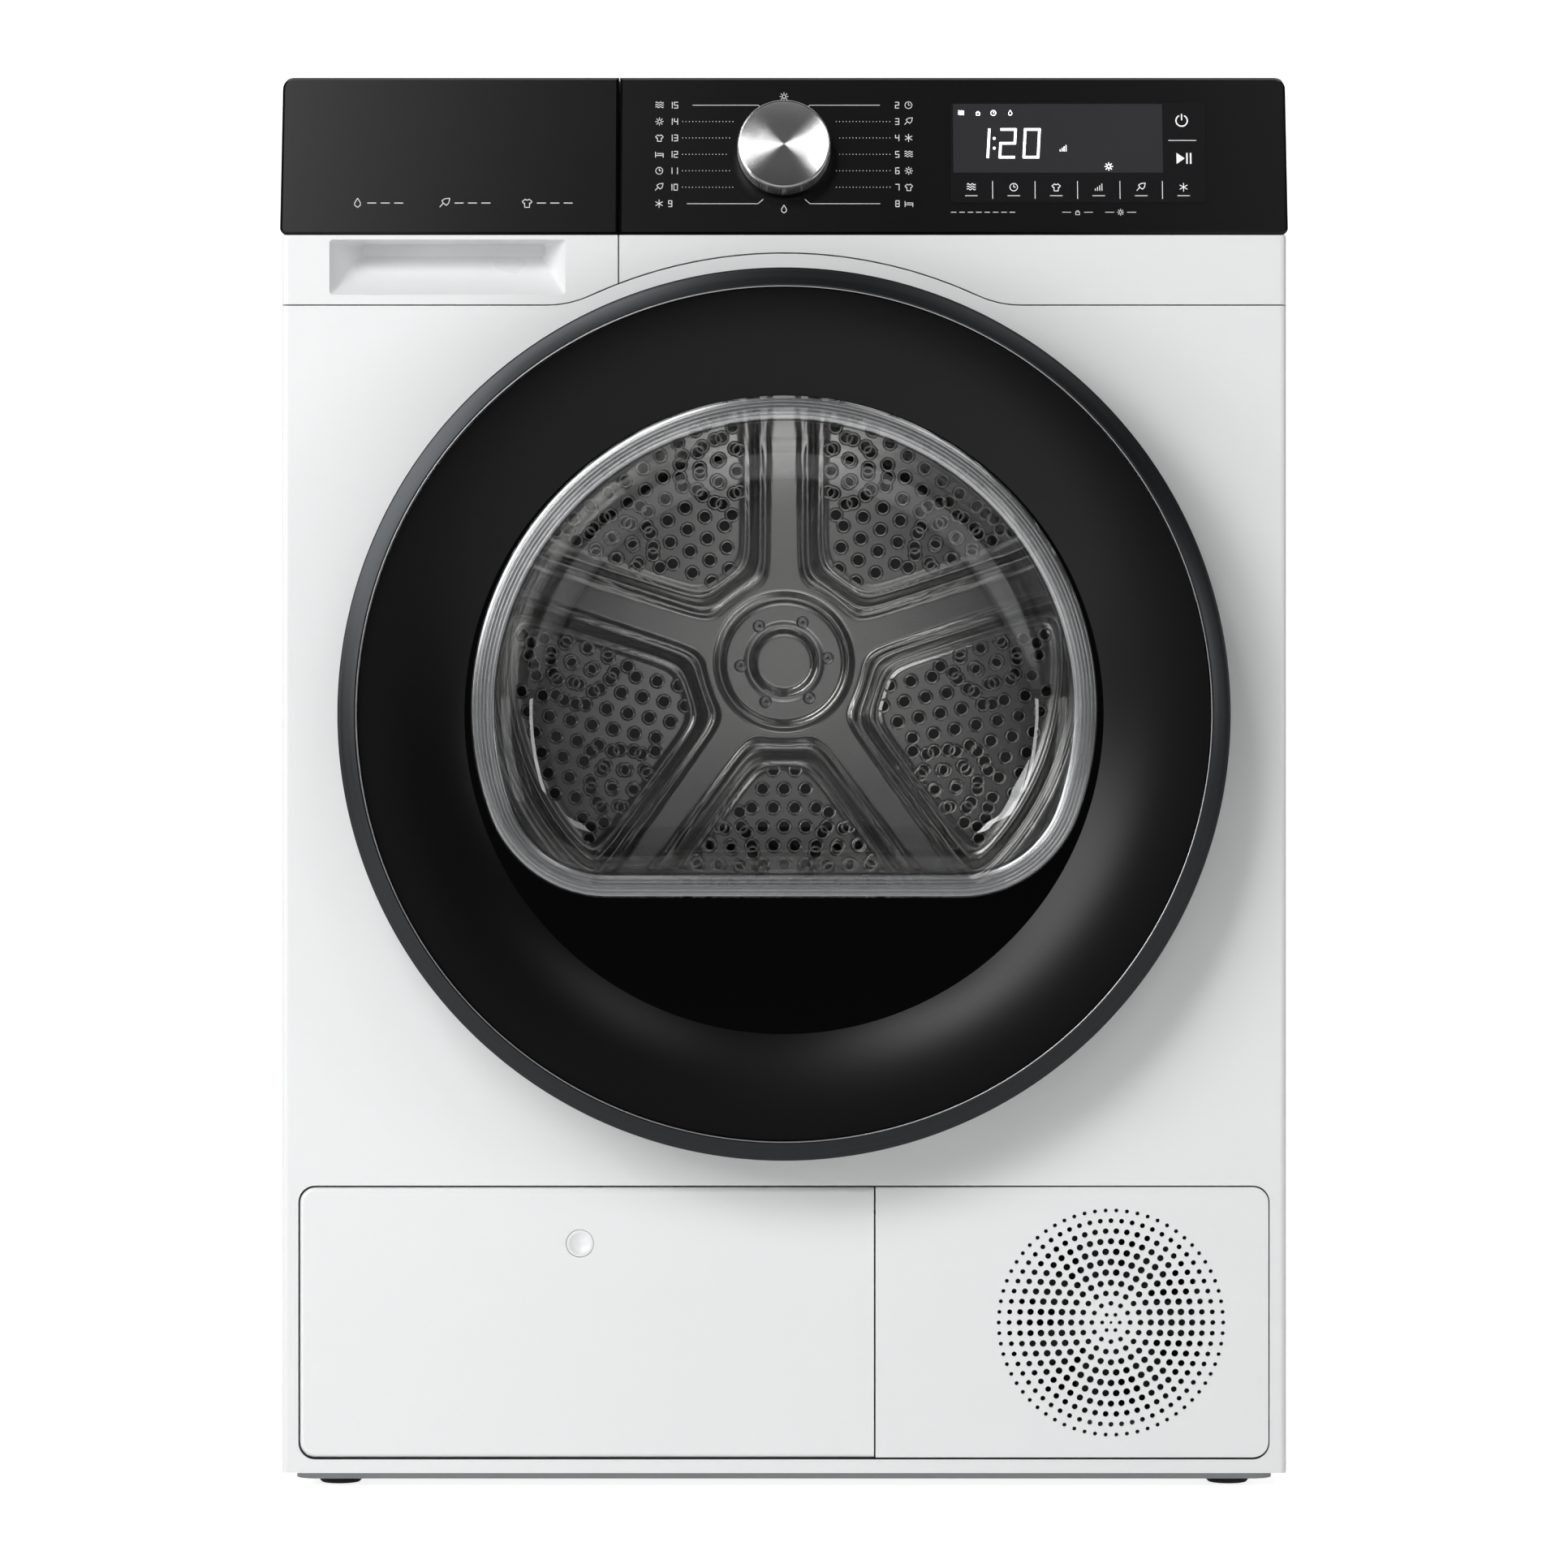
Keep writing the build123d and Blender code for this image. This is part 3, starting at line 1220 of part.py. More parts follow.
with BuildPart() as flap_latch:
    with BuildSketch(facing_front(FRONT_Y + 0.4)):
        with Locations((LATCH_BUTTON_X, LATCH_BUTTON_Z)):
            Circle(LATCH_BUTTON_R)
    extrude(amount=-8)
    with BuildSketch(facing_front(FRONT_Y + 5)):
        with Locations((LATCH_BUTTON_X, LATCH_BUTTON_Z)):
            Circle(LATCH_BUTTON_R + 3)
    extrude(amount=-3)
    # shallow dish pressed by the finger
    with BuildSketch(Plane.XY.offset(LATCH_BUTTON_Z)):
        with BuildLine():
            Line((LATCH_BUTTON_X, FRONT_Y - 2), (LATCH_BUTTON_X, FRONT_Y + 2.6))
            dish = RadiusArc((LATCH_BUTTON_X, FRONT_Y + 2.6), (LATCH_BUTTON_X + 7, FRONT_Y), 13)
            Polyline(dish @ 1, (LATCH_BUTTON_X + 7, FRONT_Y - 2), (LATCH_BUTTON_X, FRONT_Y - 2))
        make_face()
    revolve(axis=Axis((LATCH_BUTTON_X, 0, LATCH_BUTTON_Z), (0, 1, 0)), mode=Mode.SUBTRACT)
pull_in("flap_latch", flap_latch)

# ---------------------------------------------------------------- rear connections and screws
SPIGOT_R = 9.5
with BuildPart() as drain_spigot:
    with BuildSketch(facing_front(REAR_PANEL_Y + SHEET)):
        with Locations((-250, 90)):
            Circle(16)
    extrude(amount=-2.5)
    with BuildSketch(facing_front(REAR_PANEL_Y + SHEET)):
        with Locations((-250, 90)):
            Circle(SPIGOT_R)
    extrude(amount=-23)
    with BuildSketch(facing_front(REAR_PANEL_Y)):
        with Locations((-250, 90)):
            Circle(6.5)
    extrude(amount=-26, mode=Mode.SUBTRACT)
pull_in("drain_spigot", drain_spigot)

with BuildPart() as mains_inlet:
    with BuildSketch(facing_front(REAR_PANEL_Y + SHEET)):
        with Locations((-235, 780)):
            RectangleRounded(44, 34, 4)
    extrude(amount=-10)
    with BuildSketch(facing_front(REAR_PANEL_Y + SHEET + 10)):
        with Locations((-235, 780)):
            RectangleRounded(28, 20, 3)
    extrude(amount=7, mode=Mode.SUBTRACT)
pull_in("mains_inlet", mains_inlet)

with BuildPart() as cabinet_screws:
    with BuildSketch(facing_front(REAR_PANEL_Y + SHEET)):
        with GridLocations(560, 250, 2, 4):
            with Locations((0, 416)):
                Circle(4)
    extrude(amount=-2.4)
    fillet(cabinet_screws.faces().sort_by(Axis.Y)[-1].edges(), 0.8)
pull_in("cabinet_screws", cabinet_screws)
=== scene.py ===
import bpy
import json
import math
from mathutils import Matrix, Vector


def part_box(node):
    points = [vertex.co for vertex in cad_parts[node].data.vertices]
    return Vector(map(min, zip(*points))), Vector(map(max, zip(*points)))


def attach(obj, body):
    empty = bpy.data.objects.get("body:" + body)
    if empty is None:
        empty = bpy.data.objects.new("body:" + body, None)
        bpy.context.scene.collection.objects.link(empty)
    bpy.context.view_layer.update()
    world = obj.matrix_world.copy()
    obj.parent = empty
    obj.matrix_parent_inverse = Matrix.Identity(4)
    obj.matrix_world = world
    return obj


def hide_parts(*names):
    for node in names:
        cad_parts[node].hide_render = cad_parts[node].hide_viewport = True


# Looks of a front-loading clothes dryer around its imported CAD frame. Metres, front towards -Y.
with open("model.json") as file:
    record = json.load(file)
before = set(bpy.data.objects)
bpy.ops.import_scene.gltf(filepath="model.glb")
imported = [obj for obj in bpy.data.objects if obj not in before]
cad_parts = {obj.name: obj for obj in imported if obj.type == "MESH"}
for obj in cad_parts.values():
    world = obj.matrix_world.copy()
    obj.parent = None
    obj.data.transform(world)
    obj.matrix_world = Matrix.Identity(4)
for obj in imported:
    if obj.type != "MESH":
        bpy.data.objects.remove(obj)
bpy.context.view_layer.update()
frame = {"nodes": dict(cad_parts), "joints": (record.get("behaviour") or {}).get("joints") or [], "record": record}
MM = 0.001

# ------------------------------------------------------------------ places read from the frame
ring_low, ring_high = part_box("door_outer_ring")
DOOR_Z = (ring_low[2] + ring_high[2]) / 2
DOOR_R = (ring_high[0] - ring_low[0]) / 2
DOOR_FRONT = ring_low[1]
joint = {j["name"]: j for j in frame["joints"]}
KNOB_AT = Vector(joint["selector_turn"]["pos_m"])
KNOB_AXIS = Vector(joint["selector_turn"]["axis"]).normalized()
DRUM_Z = joint["drum_spin"]["pos_m"][2]
DRUM_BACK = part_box("drum_shell")[1][1]
FASCIA_SLOPE = 20 * MM / (96 * MM)      # the black face leans back this much per unit of height


def fascia_point(x, z, lift=0.0):
    """Point on the leaning black face at (x, z), lifted off it by lift."""
    y = KNOB_AT[1] + (z - KNOB_AT[2]) * FASCIA_SLOPE
    return Vector((x, y, z)) + KNOB_AXIS * lift


# ------------------------------------------------------------------ materials
def shader(name):
    mat = bpy.data.materials.new(name)
    mat.use_nodes = True
    tree = mat.node_tree
    return mat, tree, tree.nodes["Principled BSDF"]


def add_range(tree, source, low, high, target):
    """Lets source, from 0 to 1, drive target from low to high."""
    span = tree.nodes.new("ShaderNodeMapRange")
    span.inputs["To Min"].default_value = low
    span.inputs["To Max"].default_value = high
    tree.links.new(source, span.inputs["Value"])
    tree.links.new(span.outputs["Result"], target)


def add_relief(tree, height, strength, depth, bsdf):
    relief = tree.nodes.new("ShaderNodeBump")
    relief.inputs["Strength"].default_value = strength
    relief.inputs["Distance"].default_value = depth
    tree.links.new(height, relief.inputs["Height"])
    tree.links.new(relief.outputs["Normal"], bsdf.inputs["Normal"])


def add_tones(tree, mixer, color, darker, lighter, bsdf):
    """Base colour that drifts between a darker and a lighter tone of color."""
    mix = tree.nodes.new("ShaderNodeMixRGB")
    mix.inputs["Color1"].default_value = (*[c * darker for c in color], 1)
    mix.inputs["Color2"].default_value = (*[min(1, c * lighter) for c in color], 1)
    tree.links.new(mixer, mix.inputs["Fac"])
    tree.links.new(mix.outputs["Color"], bsdf.inputs["Base Color"])


def surface(name, color, rough=0.4, metal=0.0, grain=900.0, bump=0.05, tint=0.03,
            rough_span=0.06, patch=6.0, spec=0.5, stretch=(1, 1, 1)):
    """Moulded, painted or metal surface: fine grain in the bump, broad drift in colour and roughness."""
    mat, tree, bsdf = shader(name)
    coords = tree.nodes.new("ShaderNodeTexCoord")
    mapping = tree.nodes.new("ShaderNodeMapping")
    mapping.inputs["Scale"].default_value = stretch
    tree.links.new(coords.outputs["Object"], mapping.inputs["Vector"])
    broad = tree.nodes.new("ShaderNodeTexNoise")
    broad.inputs["Scale"].default_value = patch
    broad.inputs["Detail"].default_value = 4
    tree.links.new(mapping.outputs["Vector"], broad.inputs["Vector"])
    add_tones(tree, broad.outputs["Fac"], color, 1 - tint, 1 + tint, bsdf)
    add_range(tree, broad.outputs["Fac"], max(0.01, rough - rough_span), rough + rough_span,
              bsdf.inputs["Roughness"])
    fine = tree.nodes.new("ShaderNodeTexNoise")
    fine.inputs["Scale"].default_value = grain
    fine.inputs["Detail"].default_value = 3
    tree.links.new(mapping.outputs["Vector"], fine.inputs["Vector"])
    add_relief(tree, fine.outputs["Fac"], bump, 0.4 * MM, bsdf)
    bsdf.inputs["Metallic"].default_value = metal
    bsdf.inputs["Specular IOR Level"].default_value = spec
    return mat


def turned(name, color, rough, rings=2200.0, bump=0.12, centre=(0, 0, 0), axis=2, metal=1.0, aniso=0.0):
    """Metal with fine circular brush lines round an axis of the object through centre."""
    mat, tree, bsdf = shader(name)
    coords = tree.nodes.new("ShaderNodeTexCoord")
    shift = tree.nodes.new("ShaderNodeVectorMath")
    shift.operation = "SUBTRACT"
    shift.inputs[1].default_value = centre
    tree.links.new(coords.outputs["Object"], shift.inputs[0])
    flat = tree.nodes.new("ShaderNodeVectorMath")
    flat.operation = "MULTIPLY"
    flat.inputs[1].default_value = [0 if i == axis else 1 for i in range(3)]
    tree.links.new(shift.outputs["Vector"], flat.inputs[0])
    radius = tree.nodes.new("ShaderNodeVectorMath")
    radius.operation = "LENGTH"
    tree.links.new(flat.outputs["Vector"], radius.inputs[0])
    lines = tree.nodes.new("ShaderNodeTexNoise")
    lines.noise_dimensions = "1D"
    lines.inputs["Scale"].default_value = rings
    lines.inputs["Detail"].default_value = 4
    tree.links.new(radius.outputs["Value"], lines.inputs["W"])
    add_tones(tree, lines.outputs["Fac"], color, 0.82, 1.1, bsdf)
    add_range(tree, lines.outputs["Fac"], rough * 0.8, rough * 1.25, bsdf.inputs["Roughness"])
    add_relief(tree, lines.outputs["Fac"], bump, 0.2 * MM, bsdf)
    bsdf.inputs["Metallic"].default_value = metal
    if aniso:
        tangent = tree.nodes.new("ShaderNodeTangent")
        tangent.direction_type = "RADIAL"
        tangent.axis = "XYZ"[axis]
        bsdf.inputs["Anisotropic"].default_value = aniso
        bsdf.inputs["Anisotropic Rotation"].default_value = 0.25
        tree.links.new(tangent.outputs["Tangent"], bsdf.inputs["Tangent"])
    return mat


def clear(name, tint, least, rough, ripple=0.0):
    """Clear moulded sheet: mostly open, mirror-like at grazing angles."""
    mat, tree, bsdf = shader(name)
    bsdf.inputs["Metallic"].default_value = 1.0
    bsdf.inputs["Base Color"].default_value = (*tint, 1)
    coords = tree.nodes.new("ShaderNodeTexCoord")
    haze = tree.nodes.new("ShaderNodeTexNoise")
    haze.inputs["Scale"].default_value = 25
    tree.links.new(coords.outputs["Object"], haze.inputs["Vector"])
    add_range(tree, haze.outputs["Fac"], rough * 0.7, rough * 1.3, bsdf.inputs["Roughness"])
    edge = tree.nodes.new("ShaderNodeFresnel")
    edge.inputs["IOR"].default_value = 1.45
    cover = tree.nodes.new("ShaderNodeMapRange")
    cover.inputs["From Min"].default_value = 0.03
    cover.inputs["From Max"].default_value = 1.0
    cover.inputs["To Min"].default_value = least
    cover.inputs["To Max"].default_value = 1.0
    tree.links.new(edge.outputs["Fac"], cover.inputs["Value"])
    tree.links.new(cover.outputs["Result"], bsdf.inputs["Alpha"])
    if ripple:
        add_relief(tree, haze.outputs["Fac"], ripple, 1 * MM, bsdf)
    return mat


def lit(name, color, strength):
    """Printed or lit mark: slight grain so it isn't one flat value, plus an emission glow; on printed marks that
    glow is painted light, as print does not shine.
    """
    mat = surface(name, color, rough=0.45, grain=3000, bump=0.02)
    bsdf = mat.node_tree.nodes["Principled BSDF"]
    bsdf.inputs["Emission Color"].default_value = (*color, 1)
    bsdf.inputs["Emission Strength"].default_value = strength
    return mat


WHITE_PAINT = surface("white_paint", (0.80, 0.805, 0.81), rough=0.34, grain=700, bump=0.05, tint=0.012)
WHITE_PLASTIC = surface("white_plastic", (0.80, 0.805, 0.81), rough=0.30, grain=1200, bump=0.03, tint=0.012)
BLACK_GLOSS = surface("black_gloss", (0.0015, 0.0015, 0.0016), rough=0.27, grain=60, bump=0.01, tint=0.15,
                      rough_span=0.03, spec=0.22)
DISH_BLACK = surface("dish_black", (0.0012, 0.0012, 0.0013), rough=0.30, grain=80, bump=0.008, tint=0.15,
                     rough_span=0.02, spec=0.22)
BLACK_SATIN = surface("black_satin", (0.0012, 0.0012, 0.0013), rough=0.24, grain=400, bump=0.02, tint=0.2,
                      rough_span=0.03, spec=0.03)
PANEL_GLASS = surface("panel_glass", (0.010, 0.010, 0.011), rough=0.10, grain=40, bump=0.005, tint=0.2,
                      rough_span=0.02)
DARK_PLASTIC = surface("dark_plastic", (0.035, 0.035, 0.038), rough=0.5, grain=1500, bump=0.15, tint=0.1)
GREY_PLASTIC = surface("grey_plastic", (0.30, 0.31, 0.32), rough=0.5, grain=1500, bump=0.12, tint=0.05)
LATCH_PLASTIC = surface("latch_plastic", (0.62, 0.62, 0.60), rough=0.45, grain=1500, bump=0.1)
RUBBER = surface("rubber", (0.018, 0.018, 0.018), rough=0.7, grain=2500, bump=0.25, tint=0.15)
STAINLESS = surface("stainless", (0.62, 0.62, 0.61), rough=0.27, metal=1.0, grain=500, bump=0.10,
                    tint=0.05, stretch=(1, 0.05, 1))
ZINC = surface("zinc_sheet", (0.60, 0.61, 0.63), rough=0.38, metal=1.0, grain=90, bump=0.05, tint=0.10,
               patch=40)
FELT = surface("felt", (0.45, 0.43, 0.40), rough=0.95, grain=1800, bump=0.6, tint=0.15)
ENAMEL = surface("black_enamel", (0.02, 0.02, 0.022), rough=0.3, grain=500, bump=0.08)
BOARD = surface("circuit_board", (0.02, 0.16, 0.07), rough=0.35, grain=900, bump=0.1, tint=0.2)
FINS = surface("fin_aluminium", (0.72, 0.73, 0.74), rough=0.35, metal=1.0, grain=1800, bump=0.5,
               tint=0.08, stretch=(1, 0.02, 0.02))
COPPER = surface("copper", (0.72, 0.40, 0.26), rough=0.28, metal=1.0, grain=500, bump=0.05, tint=0.1)
# printed marks with a painted glow: emission makes the print shine though it is no lamp
PRINT_WITH_GLOW = lit("panel_print_painted_glow", (0.62, 0.62, 0.62), 0.25)
GLOW = lit("display_glow", (0.95, 0.97, 1.0), 1.6)
RING_METAL = turned("ring_metal", (0.030, 0.032, 0.034), 0.30, rings=900, bump=0.02,
                    centre=(0, 0, DOOR_Z), axis=1, metal=0.85)
LINE_METAL = turned("bright_line", (0.45, 0.45, 0.46), 0.3, centre=(0, 0, DOOR_Z), axis=1)
KNOB_METAL = turned("knob_metal", (0.80, 0.80, 0.80), 0.22, rings=2600, bump=0.04, aniso=0.95)
WINDOW = clear("window_clear", (0.95, 0.96, 0.97), least=0.05, rough=0.02)
WINDOW_RIM = clear("window_rim", (0.72, 0.73, 0.74), least=0.30, rough=0.24, ripple=0.15)

SLOT_MATERIAL = {
    "white_paint": WHITE_PAINT, "white_plastic": WHITE_PLASTIC, "black_gloss": BLACK_GLOSS,
    "black_satin": BLACK_SATIN, "display_glass": PANEL_GLASS, "knob_aluminium": KNOB_METAL,
    "ring_metal": RING_METAL, "window_clear": WINDOW, "dark_plastic": DARK_PLASTIC,
    "grey_plastic": GREY_PLASTIC, "black_rubber": RUBBER, "stainless": STAINLESS, "zinc_steel": ZINC,
    "latch_plastic": LATCH_PLASTIC, "felt": FELT, "motor_paint": ENAMEL, "circuit_board": BOARD,
    "fin_aluminium": FINS, "copper": COPPER,
}
for part in frame["record"]["subparts"]:
    node = frame["nodes"][part["node"]]
    node.data.materials.clear()
    node.data.materials.append(SLOT_MATERIAL[part["material_slot"]])


# ------------------------------------------------------------------ mesh helpers
def make_piece(name, verts, faces, body, mats, smooth=True, indices=None):
    mesh = bpy.data.meshes.new(name)
    mesh.from_pydata([tuple(v) for v in verts], [], faces)
    mesh.validate()
    piece = bpy.data.objects.new(name, mesh)
    bpy.context.scene.collection.objects.link(piece)
    for mat in mats:
        mesh.materials.append(mat)
    if indices:
        mesh.polygons.foreach_set("material_index", indices)
    mesh.polygons.foreach_set("use_smooth", [smooth] * len(mesh.polygons))
    mesh.update()
    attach(piece, body)
    return piece


def turn_profile(profile, count, place):
    """Vertices and faces of a closed profile of (radius, height) turned round, put in space by place."""
    verts, faces = [], []
    size = len(profile)
    for k in range(count):
        a = 2 * math.pi * k / count
        verts += [place(r * math.cos(a), r * math.sin(a), h) for r, h in profile]
    for k in range(count):
        near, far = k * size, (k + 1) % count * size
        for i in range(size):
            j = (i + 1) % size
            faces.append((near + i, near + j, far + j, far + i))
    return verts, faces


def door_place(x, z, y):
    return Vector((x, y, DOOR_Z + z))


# ------------------------------------------------------------------ door: ring, dish, insert, window
RING_LAND = 11 * MM
ARM_X = 246 * MM         # the two hinge arms enter the ring here
ARM_HEIGHTS = (-60 * MM, 60 * MM)


def build_ring():
    """Dark metal-look ring of the door: its land slopes back to a crisp edge, its back edge is rounded."""
    front, back = DOOR_FRONT, ring_high[1]
    rim, inner = DOOR_R, DOOR_R - RING_LAND
    fall = 4.2 * MM        # how far the land slopes back to the rim
    lip = front + 9 * MM   # inner lip, behind the dish's edge
    edge = 1.2 * MM
    turn = 6 * MM
    profile = [(inner, lip), (inner, front + 0.6 * MM), (inner + 0.3 * MM, front + 0.15 * MM),
               (inner + 0.9 * MM, front), (rim - edge, front + fall)]
    profile += [(rim - edge + edge * math.sin(t), front + fall + edge * (1 - math.cos(t)))
                for t in (0.4, 0.8, 1.2, math.pi / 2)]
    profile += [(rim - turn * (1 - math.cos(t)), back - turn + turn * math.sin(t))
                for t in (0.0, 0.35, 0.7, 1.05, 1.4)]
    profile += [(rim - 8 * MM, back), (rim - 8 * MM, back - 2 * MM), (rim - 2.5 * MM, back - 6 * MM),
                (rim - 2.5 * MM, front + fall + 2.5 * MM), (inner + 2.5 * MM, front + 3.5 * MM),
                (inner + 2.5 * MM, lip)]
    verts, faces = turn_profile(profile, 360, door_place)
    ring = make_piece("door_ring", verts, faces, "door", [RING_METAL])
    cut = bpy.data.objects.new("hinge_slots", bpy.data.meshes.new("hinge_slots"))
    bpy.context.scene.collection.objects.link(cut)
    boxes, quads = [], []
    for arm_z in ARM_HEIGHTS:
        start = len(boxes)
        for dx in (-30 * MM, 25 * MM):
            for y in (back - 39 * MM, back + 5 * MM):
                for dz in (-5 * MM, 5 * MM):
                    boxes.append((ARM_X + dx, y, DOOR_Z + arm_z + dz))
        quads += [tuple(start + i for i in q) for q in
                  ((0, 1, 3, 2), (4, 6, 7, 5), (0, 4, 5, 1), (2, 3, 7, 6), (0, 2, 6, 4), (1, 5, 7, 3))]
    cut.data.from_pydata(boxes, [], quads)
    carve = ring.modifiers.new("hinge_slots", "BOOLEAN")
    carve.object = cut
    carve.solver = "EXACT"
    bpy.context.view_layer.update()
    carved = bpy.data.meshes.new_from_object(ring.evaluated_get(bpy.context.evaluated_depsgraph_get()))
    ring.modifiers.clear()
    ring.data = carved
    bpy.data.objects.remove(cut)
    ring.data.set_sharp_from_angle(angle=math.radians(32))
    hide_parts("door_outer_ring")

    line_r = inner - 0.2 * MM
    wire = [(line_r + 0.55 * MM * math.cos(t), front + 0.9 * MM + 0.55 * MM * math.sin(t))
            for t in [k * math.pi / 4 for k in range(8)]]
    verts, faces = turn_profile(wire, 300, door_place)
    make_piece("door_bright_line", verts, faces, "door", [LINE_METAL])


DISH_OUT_R = DOOR_R - RING_LAND - 0.9 * MM
DISH_IN_R = 188.6 * MM
DISH_EDGE = DOOR_FRONT + 6 * MM
DISH_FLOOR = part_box("door_insert")[0][1]


def build_dish():
    """Glossy black annulus, an arc in section: almost flat by the ring and steepest at the window."""
    steps = 40
    outer = []
    wide = DISH_OUT_R - DISH_IN_R
    deep = DISH_FLOOR - 0.3 * MM - DISH_EDGE
    outer_slope = math.radians(4)
    inner_slope = 2 * math.atan2(deep, wide) - outer_slope
    bend = wide / (math.sin(inner_slope) - math.sin(outer_slope))
    for k in range(steps + 1):
        slope = outer_slope + (inner_slope - outer_slope) * k / steps
        outer.append((DISH_OUT_R - bend * (math.sin(slope) - math.sin(outer_slope)),
                      DISH_EDGE + bend * (math.cos(outer_slope) - math.cos(slope))))
    inner = [(r + 0.4 * MM, y + 2.3 * MM) for r, y in reversed(outer[6:])]
    verts, faces = turn_profile(outer + inner, 300, door_place)
    dish = make_piece("door_dish", verts, faces, "door", [DISH_BLACK])
    dish.data.set_sharp_from_angle(angle=math.radians(40))
    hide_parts("door_trim")


def d_outline(grow, count=64):
    """Points of the D-shaped window outline, moved out by grow, counterclockwise from the flat's right end.

    A wide arc about the window's centre, a flat underneath, and two small arcs that join them smoothly.
    """
    half = 104 * MM            # half the flat
    round_r = 184.7 * MM
    centre_z = 464.4 * MM
    flat_z = 353 * MM
    rise = centre_z - flat_z
    corner = (round_r**2 - half**2 - rise**2) / (2 * (round_r - rise))
    corner_z = flat_z + corner
    below = math.atan2(centre_z - corner_z, half)
    points = []

    def sweep(cx, cz, radius, start, extent, number):
        for k in range(number):
            a = start + extent * k / number
            points.append((cx + radius * math.cos(a), cz + radius * math.sin(a)))

    sweep(half, corner_z, corner + grow, -math.pi / 2, math.pi / 2 - below, count // 4)
    sweep(0, centre_z, round_r + grow, -below, math.pi + 2 * below, count * 2)
    sweep(-half, corner_z, corner + grow, math.pi + below, math.pi / 2 - below, count // 4)
    for k in range(count // 4):
        points.append((-half + 2 * half * k / (count // 4), flat_z - grow))
    return points


def loft_outlines(levels, close_last):
    """Skin through D outlines given as (grow, y); optionally closes the last one with a flat cap."""
    verts, faces = [], []
    size = len(d_outline(0))
    for grow, y in levels:
        verts += [Vector((x, y, z)) for x, z in d_outline(grow)]
    for k in range(len(levels) - 1):
        for i in range(size):
            j = (i + 1) % size
            faces.append((k * size + i, k * size + j, (k + 1) * size + j, (k + 1) * size + i))
    if close_last:
        faces.append(tuple((len(levels) - 1) * size + i for i in range(size)))
    return verts, faces


def build_window():
    """Clear bowl with a fluted rim flange, a rounded shoulder and an almost flat pane."""
    front = DISH_FLOOR - 1.2 * MM
    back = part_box("door_window")[1][1] - 1.0 * MM
    shoulder = (-14.5 * MM, front + 2.2 * MM)     # where the rim turns into the bowl's wall
    turn = 24 * MM                                # depth and width of the rounding into the pane
    taper = 8 * MM
    rim = [(-0.4 * MM, front + 2 * MM), (-0.4 * MM, front + 0.6 * MM), (-1.0 * MM, front),
           (-12.5 * MM, front + 0.6 * MM), shoulder]
    wall = [shoulder]
    for k in range(1, 9):
        t = k / 8
        wall.append((shoulder[0] - taper * t**1.6, shoulder[1] + (back - turn - front) * t))
    last_grow, last_y = wall[-1]
    for k in range(1, 8):
        a = math.pi / 2 * k / 7
        wall.append((last_grow - turn * (1 - math.cos(a)), last_y + (back - last_y) * math.sin(a)))
    verts, faces = loft_outlines(rim, False)
    rim_piece = make_piece("door_window_rim", verts, faces, "door", [WINDOW_RIM])
    sheet = rim_piece.modifiers.new("thickness", "SOLIDIFY")
    sheet.thickness = 1.2 * MM
    sheet.offset = -1
    verts, faces = loft_outlines(wall, True)
    bowl = make_piece("door_window_bowl", verts, faces, "door", [WINDOW])
    bowl.data.set_sharp_from_angle(angle=math.radians(50))
    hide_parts("door_window")
    # fluted band of the rim: fine ridges round the outline
    flute_pitch, flute_half = 2.1 * MM, 0.7 * MM
    ridges, quads = [], []
    for k in range(5):
        crest = -2.9 * MM - flute_pitch * k
        level = [(crest + flute_half, front - 0.1 * MM), (crest, front - 0.7 * MM),
                 (crest - flute_half, front - 0.1 * MM), (crest, front + 0.3 * MM)]
        v, f = loft_outlines(level + level[:1], False)
        quads += [tuple(i + len(ridges) for i in q) for q in f]
        ridges += v
    flutes = make_piece("door_window_flutes", ridges, quads, "door", [WINDOW_RIM])
    flutes.data.set_sharp_from_angle(angle=math.radians(60))


build_ring()
build_dish()
build_window()


# ------------------------------------------------------------------ drum back: pressed star and holes
SPOKES = [math.radians(90 + 72 * k) for k in range(5)]
FIELD_IN, FIELD_OUT, SPOKE_HALF = 66 * MM, 196 * MM, 22 * MM
HUB_SCREW_R = 30.5 * MM
HOLE_PITCH = 15.0 * MM


def smooth_max(values, blend_over):
    top = max(values)
    return top + blend_over * math.log(sum(math.exp((v - top) / blend_over) for v in values))


def field_distance(x, z):
    """Signed distance to the nearest perforated field: negative inside it."""
    r = math.hypot(x, z)
    a = math.atan2(z, x)
    gap = min(abs((a - s + math.pi) % (2 * math.pi) - math.pi) for s in SPOKES)
    side = r * math.sin(min(gap, math.pi / 2))
    return smooth_max([SPOKE_HALF - side, FIELD_IN - r, r - FIELD_OUT], 5.5 * MM)


def step(t):
    t = max(0.0, min(1.0, t))
    return t * t * (3 - 2 * t)


def pressing(x, z):
    """How far the sheet stands towards the door at (x, z) from the drum's axis."""
    r = math.hypot(x, z)
    d = field_distance(x, z)
    height = 9 * MM * step((d + 2 * MM) / (7 * MM))
    height -= 2.2 * MM * math.exp(-((d - 9 * MM) / (1.6 * MM)) ** 2)
    height += 1.6 * MM * math.exp(-((d + 5 * MM) / (1.8 * MM)) ** 2)
    height -= 3.0 * MM * math.exp(-((r - 45 * MM) / (2.2 * MM)) ** 2)
    height += 2.4 * MM * step((22 * MM - r) / (2.5 * MM))
    height -= 1.2 * MM * math.exp(-((r - 25 * MM) / (1.5 * MM)) ** 2)
    return height


def drum_place(x, z, y):
    return Vector((x, y, DRUM_Z + z))


